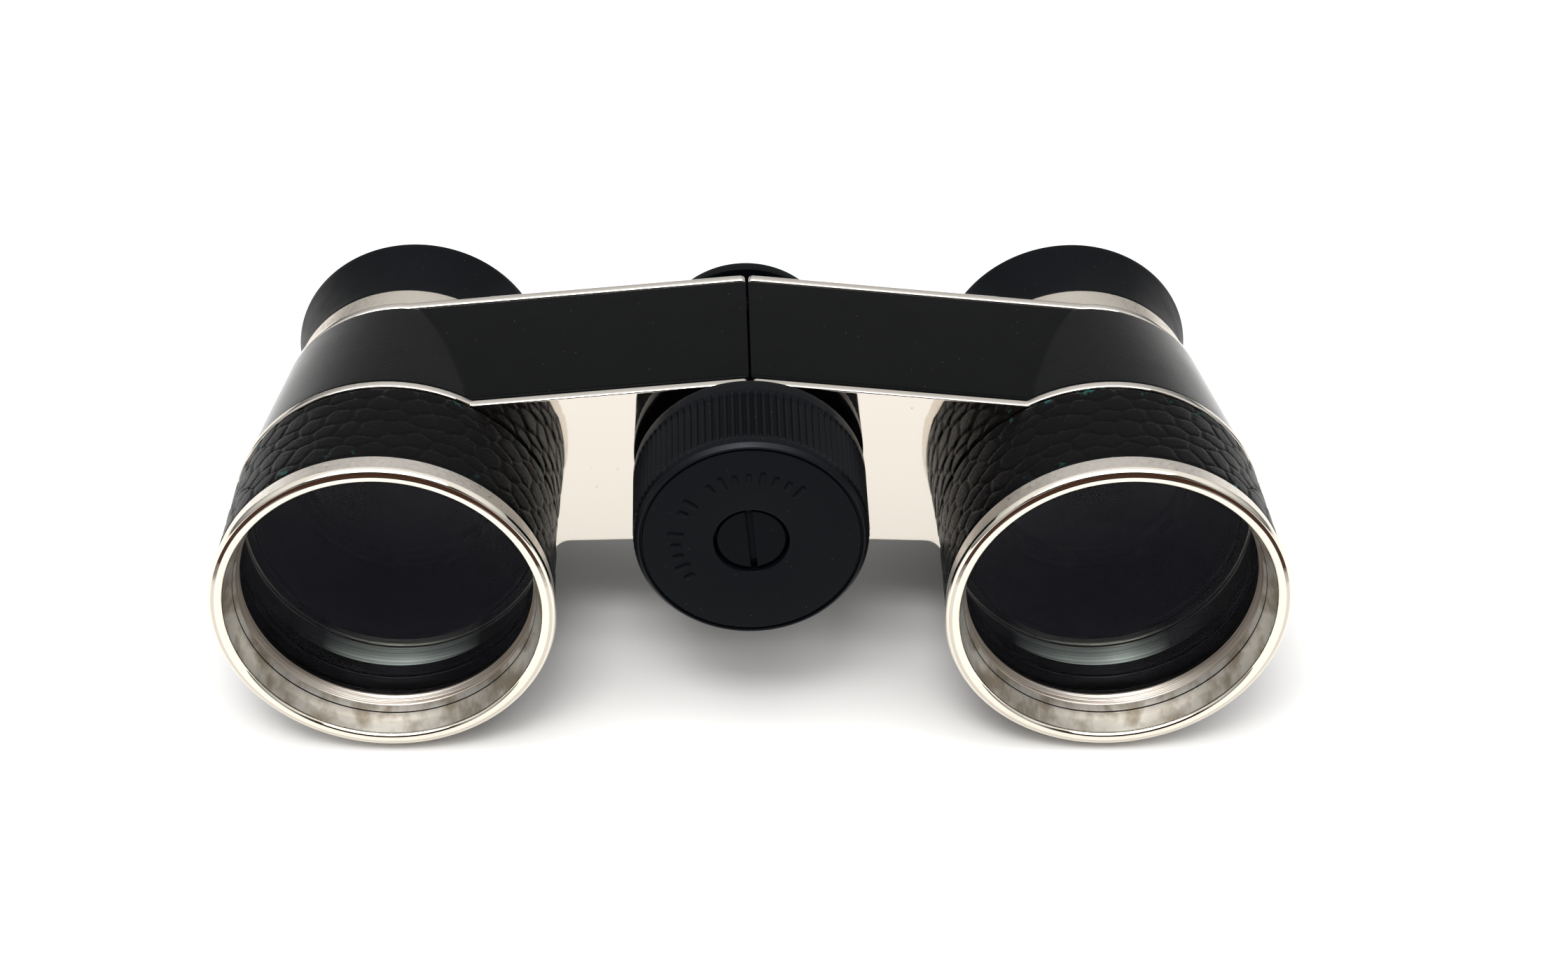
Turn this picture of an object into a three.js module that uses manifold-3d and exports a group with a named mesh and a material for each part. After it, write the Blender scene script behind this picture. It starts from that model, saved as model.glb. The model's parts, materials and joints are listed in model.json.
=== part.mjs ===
// A pair of small folding opera glasses (Galilean theatre binoculars), built piece by piece.
//
// Everything is drawn in the glasses' own frame, in millimetres: X to the right, Y along the
// optical axes from the objective lips (Y = 0) towards the eyecups, Z up from the barrel axes.
// Each half is drawn on the right and mirrored for the left. At the end the whole group is
// tipped by a few degrees, so that it lies on its two front plates and its two eyecup rims.

import * as THREE from 'three';
import { mergeVertices } from 'three/addons/utils/BufferGeometryUtils.js';
import Module from 'manifold-3d';

const wasm = await Module();
wasm.setup();

// ---------------------------------------------------------------- driving dimensions (mm)

const FIT_GAP = 0.1;            // between pieces that are screwed or soldered together
const RUN_GAP = 0.2;            // between pieces that turn or slide in each other
const SEAM_GAP = 0.15;          // from the middle plane to each half along the centre seam

const BARREL_X = 34;            // middle plane to each barrel axis
const HINGE_Z = 6.5;            // hinge and focus axis above the barrel axes
const FOLD_ANGLE = THREE.MathUtils.degToRad(50);

const LIP_RADIUS = 16.05;       // the widest part of the objective bezel's lip
const LIP_Y = 0.65;
const BAND_RADIUS = 15.8;       // the back of the plain band behind the lip
const BAND_END_Y = 2.65;
const MOUTH_RADIUS = 14.66;
const LENS_VIEW_RADIUS = 13.7;
const LENS_EDGE_Y = 5.05;
const WRAP_FRONT_RADIUS = 15.9;  // the leather tapers a little towards the front plate
const WRAP_BACK_RADIUS = 15.6;
const WRAP_THICKNESS = 0.3;
const TUBE_INNER = 14.2;

const FRONT_PLATE_Y = 14.5;
const FRONT_PLATE_THICKNESS = 0.9;
const BACK_PLATE_Y = 32.6;
const BACK_PLATE_THICKNESS = 1.0;
const FRONT_ROUND_RADIUS = 15.6;
const BACK_ROUND_RADIUS = 12.75;
const SHELL_WALL = 1.0;

const DECK_Z = 16.0;            // height of the deck at the centre seam
const DECK_SLOPE = 0.0987;      // fall of the deck per millimetre outwards
const BRIDGE_BOTTOM_Z = -1.9;
const BRIDGE_BOTTOM_SLOPE = 0.03;
const BRIDGE_FILLET = 1.8;
const SEAM_TIP_ROUND = 0.45;
const HINGE_NOTCH_RADIUS = 4.3;

const RING_OUTER = 12.35;       // the nickel ring of the focus arm, round the eyepiece
const RING_START_Y = 34.0;
const RING_END_Y = 37.4;
const CUP_FRONT_RADIUS = 12.2;
const CUP_RIM_RADIUS = 12.87;
const CUP_RIM_Y = 45.5;
const CUP_END_Y = 46.0;
const CUP_APERTURE_RADIUS = 6.8;
const SLIDE_RADIUS = 9.5;       // outside of the sliding eyepiece tube
const SLIDE_WALL = 0.8;

const HINGE_TUBE_RADIUS = 4.0;
const HINGE_TUBE_BORE = 3.0;
const SLEEVE_RADIUS = 2.7;
const SLEEVE_BORE = 2.1;
const SPINDLE_RADIUS = 1.8;
const KNUCKLE_RADIUS = 5.6;

const KNOB_FACE_Y = 2.4;
const KNOB_END_Y = 12.7;
const KNOB_FACE_RADIUS = 9.9;
const KNOB_RADIUS = 11.0;
const KNOB_RIB_COUNT = 56;
const KNOB_RIB_DEPTH = 0.25;
const KNOB_RIB_START_Y = 4.2;
const KNOB_RIB_END_Y = 10.9;
const KNOB_SCREW_RADIUS = 3.15;
const KNOB_RECESS_RADIUS = 3.5;
const KNOB_RECESS_DEPTH = 1.9;
const KNOB_FACE_ROUND = 0.65;   // the rounded edge between the knob's face and its side
const KNOB_EDGE = 0.2;

const WIDE_SEGMENTS = 32;       // facets round the outside pieces
const INNER_SEGMENTS = 24;      // facets round the pieces inside the barrels
const SMALL_SEGMENTS = 20;      // facets round the pieces near the hinge axis

// ---------------------------------------------------------------- materials

const finish = (color, roughness, metalness) =>
  new THREE.MeshStandardMaterial({ color, roughness, metalness });

const nickel = finish(0xd9d2c5, 0.18, 1.0);
const brass = finish(0xb08d4a, 0.4, 1.0);
const blackenedBrass = finish(0x1b1a18, 0.6, 0.6);
const steel = finish(0x8f9296, 0.35, 1.0);
const enamel = finish(0x15171a, 0.35, 0.1);
const leather = finish(0x131313, 0.55, 0.0);
const plastic = finish(0x101214, 0.4, 0.0);
const glass = finish(0x1d1730, 0.05, 0.0);
const blackenedSteel = finish(0x141618, 0.45, 0.6);

// ---------------------------------------------------------------- solid helpers

/** A manifold solid from a closed three.js geometry. */
function toSolid(geometry) {
  const bare = geometry.index ? geometry.clone() : geometry;
  bare.deleteAttribute('normal');
  bare.deleteAttribute('uv');
  const merged = mergeVertices(bare, 1e-5);
  const corners = merged.index.array;
  const kept = [];
  for (let i = 0; i < corners.length; i += 3) {
    const [a, b, c] = [corners[i], corners[i + 1], corners[i + 2]];
    if (a !== b && b !== c && a !== c) {
      kept.push(a, b, c);
    }
  }
  return new wasm.Manifold(new wasm.Mesh({
    numProp: 3,
    vertProperties: new Float32Array(merged.attributes.position.array),
    triVerts: new Uint32Array(kept),
  }));
}

/** A three.js geometry from a manifold solid. */
function toGeometry(solid) {
  const mesh = solid.getMesh();
  const geometry = new THREE.BufferGeometry();
  geometry.setAttribute('position', new THREE.BufferAttribute(new Float32Array(mesh.vertProperties), 3));
  geometry.setIndex(new THREE.BufferAttribute(new Uint32Array(mesh.triVerts), 1));
  return geometry;
}

/** A solid turned about the Y axis from a closed profile of [radius, y] points. */
function turned(profile, segments = WIDE_SEGMENTS) {
  const points = profile.map(([radius, y]) => new THREE.Vector2(radius, y));
  if (THREE.ShapeUtils.isClockWise(points)) {
    points.reverse();
  }
  if (points.every((point) => point.x > 0)) {
    points.push(points[0].clone());
  }
  return toSolid(new THREE.LatheGeometry(points, segments));
}

/** A turned solid moved onto the right-hand barrel axis. */
function onBarrel(profile, segments = WIDE_SEGMENTS) {
  return turned(profile, segments).translate([BARREL_X, 0, 0]);
}

/** A turned solid moved onto the hinge axis. */
function onHinge(profile, segments = SMALL_SEGMENTS) {
  return turned(profile, segments).translate([0, 0, HINGE_Z]);
}

/** A plain ring or, with no inner radius, a plain cylinder as a closed profile. */
function band(inner, outer, startY, endY) {
  return [[inner, startY], [outer, startY], [outer, endY], [inner, endY]];
}

/** A flat slab between two Y values, with its outline and holes given in X and Z. */
function slab(outline, startY, endY, holes = []) {
  const shape = new THREE.Shape(outline);
  for (const hole of holes) {
    shape.holes.push(new THREE.Path(hole));
  }
  const geometry = new THREE.ExtrudeGeometry(shape, { depth: endY - startY, bevelEnabled: false });
  geometry.rotateX(Math.PI / 2);
  geometry.translate(0, endY, 0);
  return toSolid(geometry);
}

/** Points along an arc, both ends included. */
function arc(centreX, centreZ, radius, startAngle, endAngle, steps) {
  const points = [];
  for (let i = 0; i <= steps; i += 1) {
    const angle = startAngle + ((endAngle - startAngle) * i) / steps;
    points.push(new THREE.Vector2(centreX + radius * Math.cos(angle), centreZ + radius * Math.sin(angle)));
  }
  return points;
}

/** A full circle of points with one point fewer than its facets, ready for a closed path. */
function circle(centreX, centreZ, radius, segments) {
  return arc(centreX, centreZ, radius, 0, 2 * Math.PI, segments).slice(0, -1);
}

// ---------------------------------------------------------------- outline of one half

const deckTop = (x) => DECK_Z - DECK_SLOPE * x;
const bridgeBottom = (x) => BRIDGE_BOTTOM_Z - BRIDGE_BOTTOM_SLOPE * x;

/** X where the line z = height - slope * x first meets a circle about the barrel axis. */
function firstMeeting(height, slope, radius) {
  const a = 1 + slope * slope;
  const b = -2 * (BARREL_X + slope * height);
  const c = BARREL_X * BARREL_X + height * height - radius * radius;
  return (-b - Math.sqrt(b * b - 4 * a * c)) / (2 * a);
}

// Below the hinge each half is cut back along a line through the hinge axis, for the fold.
const RELIEF_ANGLE = FOLD_ANGLE / 2 + THREE.MathUtils.degToRad(1);
const reliefPoint = (distance) => new THREE.Vector2(
  distance * Math.sin(RELIEF_ANGLE),
  HINGE_Z - distance * Math.cos(RELIEF_ANGLE),
);
const RELIEF_LENGTH = (HINGE_Z - BRIDGE_BOTTOM_Z)
  / (Math.cos(RELIEF_ANGLE) - BRIDGE_BOTTOM_SLOPE * Math.sin(RELIEF_ANGLE));

/** Outline of a cover plate: arm and barrel round in one, notched for the hinge tube. */
function plateOutline(radius) {
  const kinkX = firstMeeting(DECK_Z, DECK_SLOPE, radius);
  const kinkAngle = Math.atan2(deckTop(kinkX), kinkX - BARREL_X);
  const slopeLength = Math.hypot(1, BRIDGE_BOTTOM_SLOPE);
  const filletLine = BRIDGE_BOTTOM_Z - BRIDGE_FILLET * slopeLength;
  const filletX = firstMeeting(filletLine, BRIDGE_BOTTOM_SLOPE, radius + BRIDGE_FILLET);
  const filletZ = filletLine - BRIDGE_BOTTOM_SLOPE * filletX;
  const toBarrel = Math.atan2(-filletZ, BARREL_X - filletX);
  const toBridge = Math.PI / 2 - Math.atan(BRIDGE_BOTTOM_SLOPE);
  const seamAngle = Math.acos(SEAM_GAP / HINGE_NOTCH_RADIUS);
  const tipX = SEAM_GAP + SEAM_TIP_ROUND;
  return [
    ...arc(tipX, deckTop(tipX) - SEAM_TIP_ROUND, SEAM_TIP_ROUND, Math.PI, Math.PI / 2, 3),
    ...arc(BARREL_X, 0, radius, kinkAngle, toBarrel - Math.PI, 30),
    ...arc(filletX, filletZ, BRIDGE_FILLET, toBarrel, toBridge, 4).slice(1),
    reliefPoint(RELIEF_LENGTH),
    ...arc(0, HINGE_Z, HINGE_NOTCH_RADIUS, RELIEF_ANGLE - Math.PI / 2, seamAngle, 8),
  ];
}

/** The arm between seam and barrel as an upright prism, pared down on every side by an inset. */
function armPrism(startY, endY, inset, innerEdge) {
  const outline = [
    ...innerEdge,
    new THREE.Vector2(BARREL_X, bridgeBottom(BARREL_X) + inset),
    new THREE.Vector2(BARREL_X, deckTop(BARREL_X) - inset),
  ];
  return slab(outline, startY, endY);
}

// ---------------------------------------------------------------- pieces of one half (right)

const FRONT_PLATE_END = FRONT_PLATE_Y + FRONT_PLATE_THICKNESS;
const BACK_PLATE_END = BACK_PLATE_Y + BACK_PLATE_THICKNESS;
const SHELL_START = FRONT_PLATE_END + FIT_GAP;
const SHELL_END = BACK_PLATE_Y - FIT_GAP;
const LENS_RADIUS = TUBE_INNER - FIT_GAP;

const MOUTH_EDGE = 0.25;        // the small chamfer at the mouth
const LIP_FLAT_END = 15.4;      // outer edge of the flat on the front of the lip
const LIP_SHOULDER_RADIUS = 15.78;
const LIP_SHOULDER_Y = 0.25;
const SEAT_START_Y = 3.0;

/** The nickel ring at the front: lip, plain band and a skirt that holds the lens. */
function objectiveBezel() {
  const skirtRadius = TUBE_INNER - FIT_GAP;
  const skirtEnd = LENS_EDGE_Y - FIT_GAP;
  return onBarrel([
    [MOUTH_RADIUS, MOUTH_EDGE],
    [MOUTH_RADIUS + MOUTH_EDGE, 0],
    [LIP_FLAT_END, 0],
    [LIP_SHOULDER_RADIUS, LIP_SHOULDER_Y],
    [LIP_RADIUS, LIP_Y],
    [BAND_RADIUS, BAND_END_Y],
    [skirtRadius, BAND_END_Y],
    [skirtRadius, skirtEnd],
    [LENS_VIEW_RADIUS, skirtEnd],
    [LENS_VIEW_RADIUS, SEAT_START_Y],
  ]);
}

const FRONT_SAG = 2.0;
const CEMENT_SAG = 1.6;
const CROWN_RIM_END = LENS_EDGE_Y + 1.0;
const FLINT_END = LENS_EDGE_Y + 4.0;
const LENS_STEPS = 3;
const RING_DEPTH = 1.25;        // cross-section of the threaded rings that hold the lenses
const RING_WIDTH = 1.5;

/** Radius-and-height points of a lens face, from its rim to its middle. */
function lensFace(radius, rimY, sag) {
  const points = [];
  for (let i = 0; i <= LENS_STEPS; i += 1) {
    const r = radius * Math.cos((Math.PI / 2) * (i / LENS_STEPS));
    points.push([i === LENS_STEPS ? 0 : r, rimY + sag * (1 - (r * r) / (radius * radius))]);
  }
  return points;
}

function crownLens() {
  const front = lensFace(LENS_RADIUS, LENS_EDGE_Y, -FRONT_SAG);
  const back = lensFace(LENS_RADIUS, CROWN_RIM_END, CEMENT_SAG);
  return onBarrel([...front.reverse(), ...back]);
}

function flintLens() {
  const front = lensFace(LENS_RADIUS, CROWN_RIM_END + FIT_GAP, CEMENT_SAG);
  return onBarrel([...front.reverse(), [LENS_RADIUS, FLINT_END], [0, FLINT_END]]);
}

function objectiveRetainingRing() {
  const start = FLINT_END + FIT_GAP;
  return onBarrel(band(LENS_RADIUS - RING_DEPTH, LENS_RADIUS, start, start + RING_WIDTH), INNER_SEGMENTS);
}

const TUBE_START = BAND_END_Y + FIT_GAP;
const TUBE_END = FRONT_PLATE_Y - FIT_GAP;

/** A sleeve along the whole barrel tube, with its own radius at each end, inside and outside. */
function barrelSleeve(frontInner, frontOuter, backInner, backOuter) {
  return onBarrel([
    [frontInner, TUBE_START],
    [frontOuter, TUBE_START],
    [backOuter, TUBE_END],
    [backInner, TUBE_END],
  ]);
}

function objectiveTube() {
  const cover = WRAP_THICKNESS + FIT_GAP / 2;
  return barrelSleeve(TUBE_INNER, WRAP_FRONT_RADIUS - cover, TUBE_INNER, WRAP_BACK_RADIUS - cover);
}

function leatherWrap() {
  return barrelSleeve(
    WRAP_FRONT_RADIUS - WRAP_THICKNESS,
    WRAP_FRONT_RADIUS,
    WRAP_BACK_RADIUS - WRAP_THICKNESS,
    WRAP_BACK_RADIUS,
  );
}

const LIGHT_HOLE_RADIUS = 13.1;

function frontPlate() {
  const lightHole = circle(BARREL_X, 0, LIGHT_HOLE_RADIUS, WIDE_SEGMENTS);
  return slab(plateOutline(FRONT_ROUND_RADIUS), FRONT_PLATE_Y, FRONT_PLATE_END, [lightHole]);
}

const GUIDE_WALL = 0.5;
const GUIDE_OUTER = SLIDE_RADIUS + RUN_GAP + GUIDE_WALL;
const GUIDE_START_Y = 21;
const FLANGE_REACH = 1.1;       // how far the guide's flange stands out behind the back plate
const FLANGE_THICKNESS = 1.2;

function backPlate() {
  const guideHole = circle(BARREL_X, 0, GUIDE_OUTER + FIT_GAP, WIDE_SEGMENTS);
  return slab(plateOutline(BACK_ROUND_RADIUS), BACK_PLATE_Y, BACK_PLATE_END, [guideHole]);
}

const SHELL_STEP = 0.05;        // how far the body stands back from the edges of the plates

/** The enamelled body: a thin wall that follows the outline and tapers round the barrel. */
function bodyShell() {
  const reach = 1;
  const taper = (FRONT_ROUND_RADIUS - BACK_ROUND_RADIUS) / (BACK_PLATE_END - FRONT_PLATE_Y);
  const roundAt = (y) => FRONT_ROUND_RADIUS - SHELL_STEP - taper * (y - FRONT_PLATE_Y);
  const outerRound = onBarrel([
    [0, SHELL_START],
    [roundAt(SHELL_START), SHELL_START],
    [roundAt(SHELL_END), SHELL_END],
    [0, SHELL_END],
  ]);
  const innerRound = onBarrel([
    [0, SHELL_START - reach],
    [roundAt(SHELL_START - reach) - SHELL_WALL, SHELL_START - reach],
    [roundAt(SHELL_END + reach) - SHELL_WALL, SHELL_END + reach],
    [0, SHELL_END + reach],
  ]);
  const outerEdge = [
    new THREE.Vector2(SEAM_GAP, deckTop(SEAM_GAP)),
    new THREE.Vector2(SEAM_GAP, HINGE_Z),
    reliefPoint(RELIEF_LENGTH),
  ];
  const innerEdge = [
    new THREE.Vector2(-reach, deckTop(0) - SHELL_WALL),
    new THREE.Vector2(-reach, bridgeBottom(0) + SHELL_WALL),
  ];
  const outside = outerRound.add(armPrism(SHELL_START, SHELL_END, 0, outerEdge));
  const inside = innerRound.add(armPrism(SHELL_START - reach, SHELL_END + reach, SHELL_WALL, innerEdge));
  return outside.subtract(inside);
}

/** Hinge knuckles on one upright web, which stands across the inside of the arm. */
function hingeBlock(knuckles, bore) {
  const webStartX = 8.5;
  const webEndX = 11.5;
  const clear = SHELL_WALL + FIT_GAP;
  const web = slab([
    new THREE.Vector2(webStartX, bridgeBottom(webStartX) + clear),
    new THREE.Vector2(webEndX, bridgeBottom(webEndX) + clear),
    new THREE.Vector2(webEndX, deckTop(webEndX) - clear),
    new THREE.Vector2(webStartX, deckTop(webStartX) - clear),
  ], SHELL_START, SHELL_END);
  const lugHalfHeight = 3.5;
  const lugEndX = webStartX + 1;
  let block = web;
  for (const [startY, endY] of knuckles) {
    const lug = slab([
      new THREE.Vector2(0, HINGE_Z - lugHalfHeight),
      new THREE.Vector2(lugEndX, HINGE_Z - lugHalfHeight),
      new THREE.Vector2(lugEndX, HINGE_Z + lugHalfHeight),
      new THREE.Vector2(0, HINGE_Z + lugHalfHeight),
    ], startY, endY);
    const eye = onHinge(band(0, KNUCKLE_RADIUS, startY, endY));
    block = block.add(lug).add(eye);
  }
  return block.subtract(onHinge(band(0, bore, 0, CUP_END_Y)));
}

const FRONT_KNUCKLE_START = 16.0;
const FRONT_KNUCKLE_END = 20.4;
const BACK_KNUCKLE_START = 27.6;
const BACK_KNUCKLE_END = 32.0;
const OUTER_KNUCKLES = [
  [FRONT_KNUCKLE_START, FRONT_KNUCKLE_END],
  [BACK_KNUCKLE_START, BACK_KNUCKLE_END],
];
const MIDDLE_KNUCKLE = [[FRONT_KNUCKLE_END + RUN_GAP, BACK_KNUCKLE_START - RUN_GAP]];

/** The fixed tube that the eyepiece slides in, flanged against the inside of the back plate. */
function eyepieceGuide() {
  const flangeStart = SHELL_END - FLANGE_THICKNESS;
  const bore = SLIDE_RADIUS + RUN_GAP;
  return onBarrel([
    [bore, GUIDE_START_Y],
    [GUIDE_OUTER, GUIDE_START_Y],
    [GUIDE_OUTER, flangeStart],
    [GUIDE_OUTER + FLANGE_REACH, flangeStart],
    [GUIDE_OUTER + FLANGE_REACH, SHELL_END],
    [GUIDE_OUTER, SHELL_END],
    [GUIDE_OUTER, BACK_PLATE_END],
    [bore, BACK_PLATE_END],
  ], INNER_SEGMENTS);
}

// ---------------------------------------------------------------- pieces of one eyepiece

const SLIDE_START_Y = 22;
const SLIDE_END_Y = 41.2;
const EYE_LENS_RADIUS = SLIDE_RADIUS - SLIDE_WALL - FIT_GAP;
const EYE_LENS_START = 37.4;
const EYE_LENS_END = 41.2;
const EYE_LENS_SAG = 1.1;

function eyepieceTube() {
  return onBarrel(band(SLIDE_RADIUS - SLIDE_WALL, SLIDE_RADIUS, SLIDE_START_Y, SLIDE_END_Y), INNER_SEGMENTS);
}

function eyepieceLens() {
  const front = lensFace(EYE_LENS_RADIUS, EYE_LENS_START, EYE_LENS_SAG);
  const back = lensFace(EYE_LENS_RADIUS, EYE_LENS_END, -EYE_LENS_SAG);
  return onBarrel([...front.reverse(), ...back], INNER_SEGMENTS);
}

function eyepieceLensRing() {
  const end = EYE_LENS_START - FIT_GAP;
  return onBarrel(band(EYE_LENS_RADIUS - RING_DEPTH, EYE_LENS_RADIUS, end - RING_WIDTH, end), INNER_SEGMENTS);
}

const CUP_RIM_ROUND = 0.3;
const CUP_RIM_WIDTH = 0.9;
const DISH_REACH = 2.4;         // how far the dish stands out from the aperture, and how deep it is
const DISH_DEPTH = 1.1;
const APERTURE_DEPTH = 0.9;

/** The black cup: its side flares towards the rim, and its back is dished towards the aperture. */
function eyecup() {
  const start = RING_END_Y + FIT_GAP;
  const bore = SLIDE_RADIUS + FIT_GAP;
  const seat = SLIDE_END_Y + FIT_GAP;
  const side = [0, 1 / 3, 2 / 3, 1].map((share) => [
    CUP_FRONT_RADIUS + (CUP_RIM_RADIUS - CUP_FRONT_RADIUS) * share * share,
    start + (CUP_RIM_Y - start) * share,
  ]);
  return onBarrel([
    [bore, start],
    ...side,
    [CUP_RIM_RADIUS - CUP_RIM_ROUND, CUP_END_Y],
    [CUP_RIM_RADIUS - CUP_RIM_WIDTH, CUP_END_Y],
    [CUP_APERTURE_RADIUS + DISH_REACH, seat + APERTURE_DEPTH + DISH_DEPTH],
    [CUP_APERTURE_RADIUS, seat + APERTURE_DEPTH],
    [CUP_APERTURE_RADIUS, seat],
    [bore, seat],
  ]);
}

const EYE_THICKNESS = 1.2;
const BAR_HUB_HALF = 4.2;       // half width of the arm's bar at the hinge axis
const BAR_RING_HALF = 6.5;      // and at the barrel axis
const LEFT_EYE_Y = RING_START_Y;
const RIGHT_EYE_Y = LEFT_EYE_Y + EYE_THICKNESS + FIT_GAP;

/** Ring round the eyepiece, flat bar and small eye on the hinge axis, in one piece. */
function focusArm(eyeY, eyeBore) {
  const ring = onBarrel(band(0, RING_OUTER, RING_START_Y, RING_END_Y));
  const eyeEnd = eyeY + EYE_THICKNESS;
  const eye = onHinge(band(0, KNUCKLE_RADIUS, eyeY, eyeEnd));
  const tilt = Math.atan2(HINGE_Z, BARREL_X);
  const across = (x, z, half) => new THREE.Vector2(x + half * Math.sin(tilt), z + half * Math.cos(tilt));
  const bar = slab([
    across(0, HINGE_Z, -BAR_HUB_HALF),
    across(BARREL_X, 0, -BAR_RING_HALF),
    across(BARREL_X, 0, BAR_RING_HALF),
    across(0, HINGE_Z, BAR_HUB_HALF),
  ], eyeY, eyeEnd);
  const tubeBore = SLIDE_RADIUS + FIT_GAP;
  const before = RING_START_Y - 1;
  const behind = RING_END_Y + 1;
  const tubeHole = onBarrel(band(0, tubeBore, before, behind));
  const pinHole = onHinge(band(0, eyeBore, before, behind));
  return ring.add(bar).add(eye).subtract(tubeHole).subtract(pinHole);
}

// ---------------------------------------------------------------- pieces on the hinge axis

const HUB_CAP_START = RIGHT_EYE_Y + EYE_THICKNESS + FIT_GAP;
const HUB_CAP_END = 38.0;
const HUB_CAP_RADIUS = 8.75;
const HINGE_TUBE_START_Y = 13.2;
const SPINDLE_START_Y = 3.6;
const SPINDLE_END_Y = 31;
const SLEEVE_START_Y = 19;
const HUB_SHANK_START_Y = 32;
const HUB_SCREW_RADIUS = 3.0;
const HUB_SCREW_HEAD = 0.9;
const SLOT_WIDTH = 0.7;
const SLOT_DEPTH = 0.45;
const HUB_SLOT_TURN = 0.5;      // the slots' directions, in radians from upright
const KNOB_SLOT_TURN = 0.12;
const CAP_EDGE = 0.1;
const CAP_ROUND = 0.3;

function hingeTube() {
  return onHinge(band(HINGE_TUBE_BORE, HINGE_TUBE_RADIUS, HINGE_TUBE_START_Y, SHELL_END));
}

function focusSpindle() {
  return onHinge(band(0, SPINDLE_RADIUS, SPINDLE_START_Y, SPINDLE_END_Y));
}

function hubSleeve() {
  return onHinge(band(SLEEVE_BORE, SLEEVE_RADIUS, SLEEVE_START_Y, HUB_CAP_START));
}

function hubCap() {
  const bore = SPINDLE_RADIUS + FIT_GAP;
  return onHinge([
    [bore, HUB_CAP_START],
    [HUB_CAP_RADIUS - CAP_EDGE, HUB_CAP_START],
    [HUB_CAP_RADIUS, HUB_CAP_START + CAP_EDGE],
    [HUB_CAP_RADIUS, HUB_CAP_END - CAP_ROUND],
    [HUB_CAP_RADIUS - CAP_ROUND, HUB_CAP_END],
    [bore, HUB_CAP_END],
  ], WIDE_SEGMENTS);
}

/** A flat screw head with a slot cut across one of its two faces. */
function slottedHead(radius, startY, endY, slottedY, slotTurn) {
  const slot = new THREE.BoxGeometry(SLOT_WIDTH, 2 * SLOT_DEPTH, 3 * radius);
  slot.rotateY(slotTurn);
  slot.translate(0, slottedY, HINGE_Z);
  return onHinge(band(0, radius, startY, endY)).subtract(toSolid(slot));
}

/** The screw behind the hub cap, with its shank down the middle of the sleeve. */
function hubScrew() {
  const headStart = HUB_CAP_END + FIT_GAP;
  const headEnd = headStart + HUB_SCREW_HEAD;
  const shank = onHinge(band(0, SPINDLE_RADIUS, HUB_SHANK_START_Y, headStart));
  return slottedHead(HUB_SCREW_RADIUS, headStart, headEnd, headEnd, HUB_SLOT_TURN).add(shank);
}

const RIB_STEP = 0.05;          // the ribs' overlap with the knob's body, and their step below its edge

function focusKnob() {
  const core = KNOB_RADIUS - KNOB_RIB_DEPTH - FIT_GAP;
  const body = onHinge([
    [0, KNOB_FACE_Y],
    [KNOB_FACE_RADIUS, KNOB_FACE_Y],
    [KNOB_FACE_RADIUS + KNOB_FACE_ROUND, KNOB_FACE_Y + KNOB_FACE_ROUND],
    [KNOB_RADIUS - KNOB_EDGE, KNOB_RIB_START_Y],
    [core, KNOB_RIB_START_Y],
    [core, KNOB_RIB_END_Y],
    [KNOB_RADIUS, KNOB_RIB_END_Y],
    [KNOB_RADIUS, KNOB_END_Y - KNOB_EDGE],
    [KNOB_RADIUS - KNOB_EDGE, KNOB_END_Y],
    [0, KNOB_END_Y],
  ], WIDE_SEGMENTS);
  const crests = [];
  for (let i = 0; i < 2 * KNOB_RIB_COUNT; i += 1) {
    const angle = (Math.PI * i) / KNOB_RIB_COUNT;
    const radius = i % 2 === 0 ? KNOB_RADIUS - RIB_STEP : KNOB_RADIUS - KNOB_RIB_DEPTH;
    crests.push(new THREE.Vector2(radius * Math.cos(angle), HINGE_Z + radius * Math.sin(angle)));
  }
  const ribs = slab(crests, KNOB_RIB_START_Y - RIB_STEP, KNOB_RIB_END_Y + RIB_STEP);
  const recess = onHinge(band(0, KNOB_RECESS_RADIUS, 0, KNOB_FACE_Y + KNOB_RECESS_DEPTH));
  const hole = onHinge(band(0, SPINDLE_RADIUS + FIT_GAP, 0, KNOB_END_Y + 1));
  return body.add(ribs).subtract(recess).subtract(hole);
}

const SCREW_SINK = 0.3;

/** The slotted screw in the knob's recess, hollowed behind for the end of the spindle. */
function knobScrew() {
  const face = KNOB_FACE_Y + SCREW_SINK;
  const floor = KNOB_FACE_Y + KNOB_RECESS_DEPTH - FIT_GAP;
  const socket = onHinge(band(0, SPINDLE_RADIUS + RUN_GAP, SPINDLE_START_Y - FIT_GAP, floor + 1));
  return slottedHead(KNOB_SCREW_RADIUS, face, floor, face, KNOB_SLOT_TURN).subtract(socket);
}

function knobWasher() {
  const outer = HINGE_TUBE_RADIUS - FIT_GAP;
  return onHinge(band(SPINDLE_RADIUS + FIT_GAP, outer, KNOB_END_Y + FIT_GAP, HINGE_TUBE_START_Y - FIT_GAP));
}

// ---------------------------------------------------------------- assembly

const glasses = new THREE.Group();
glasses.name = 'opera_glasses';

function place(name, solid, material) {
  const mesh = new THREE.Mesh(toGeometry(solid), material);
  mesh.name = name;
  glasses.add(mesh);
}

const SIDES = [['right', 1], ['left', -1]];

/** The same piece on both sides, drawn on the right and mirrored for the left. */
function placePair(name, solid, material) {
  for (const [side, sign] of SIDES) {
    place(`${name}_${side}`, sign > 0 ? solid : solid.mirror([1, 0, 0]), material);
  }
}

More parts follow.
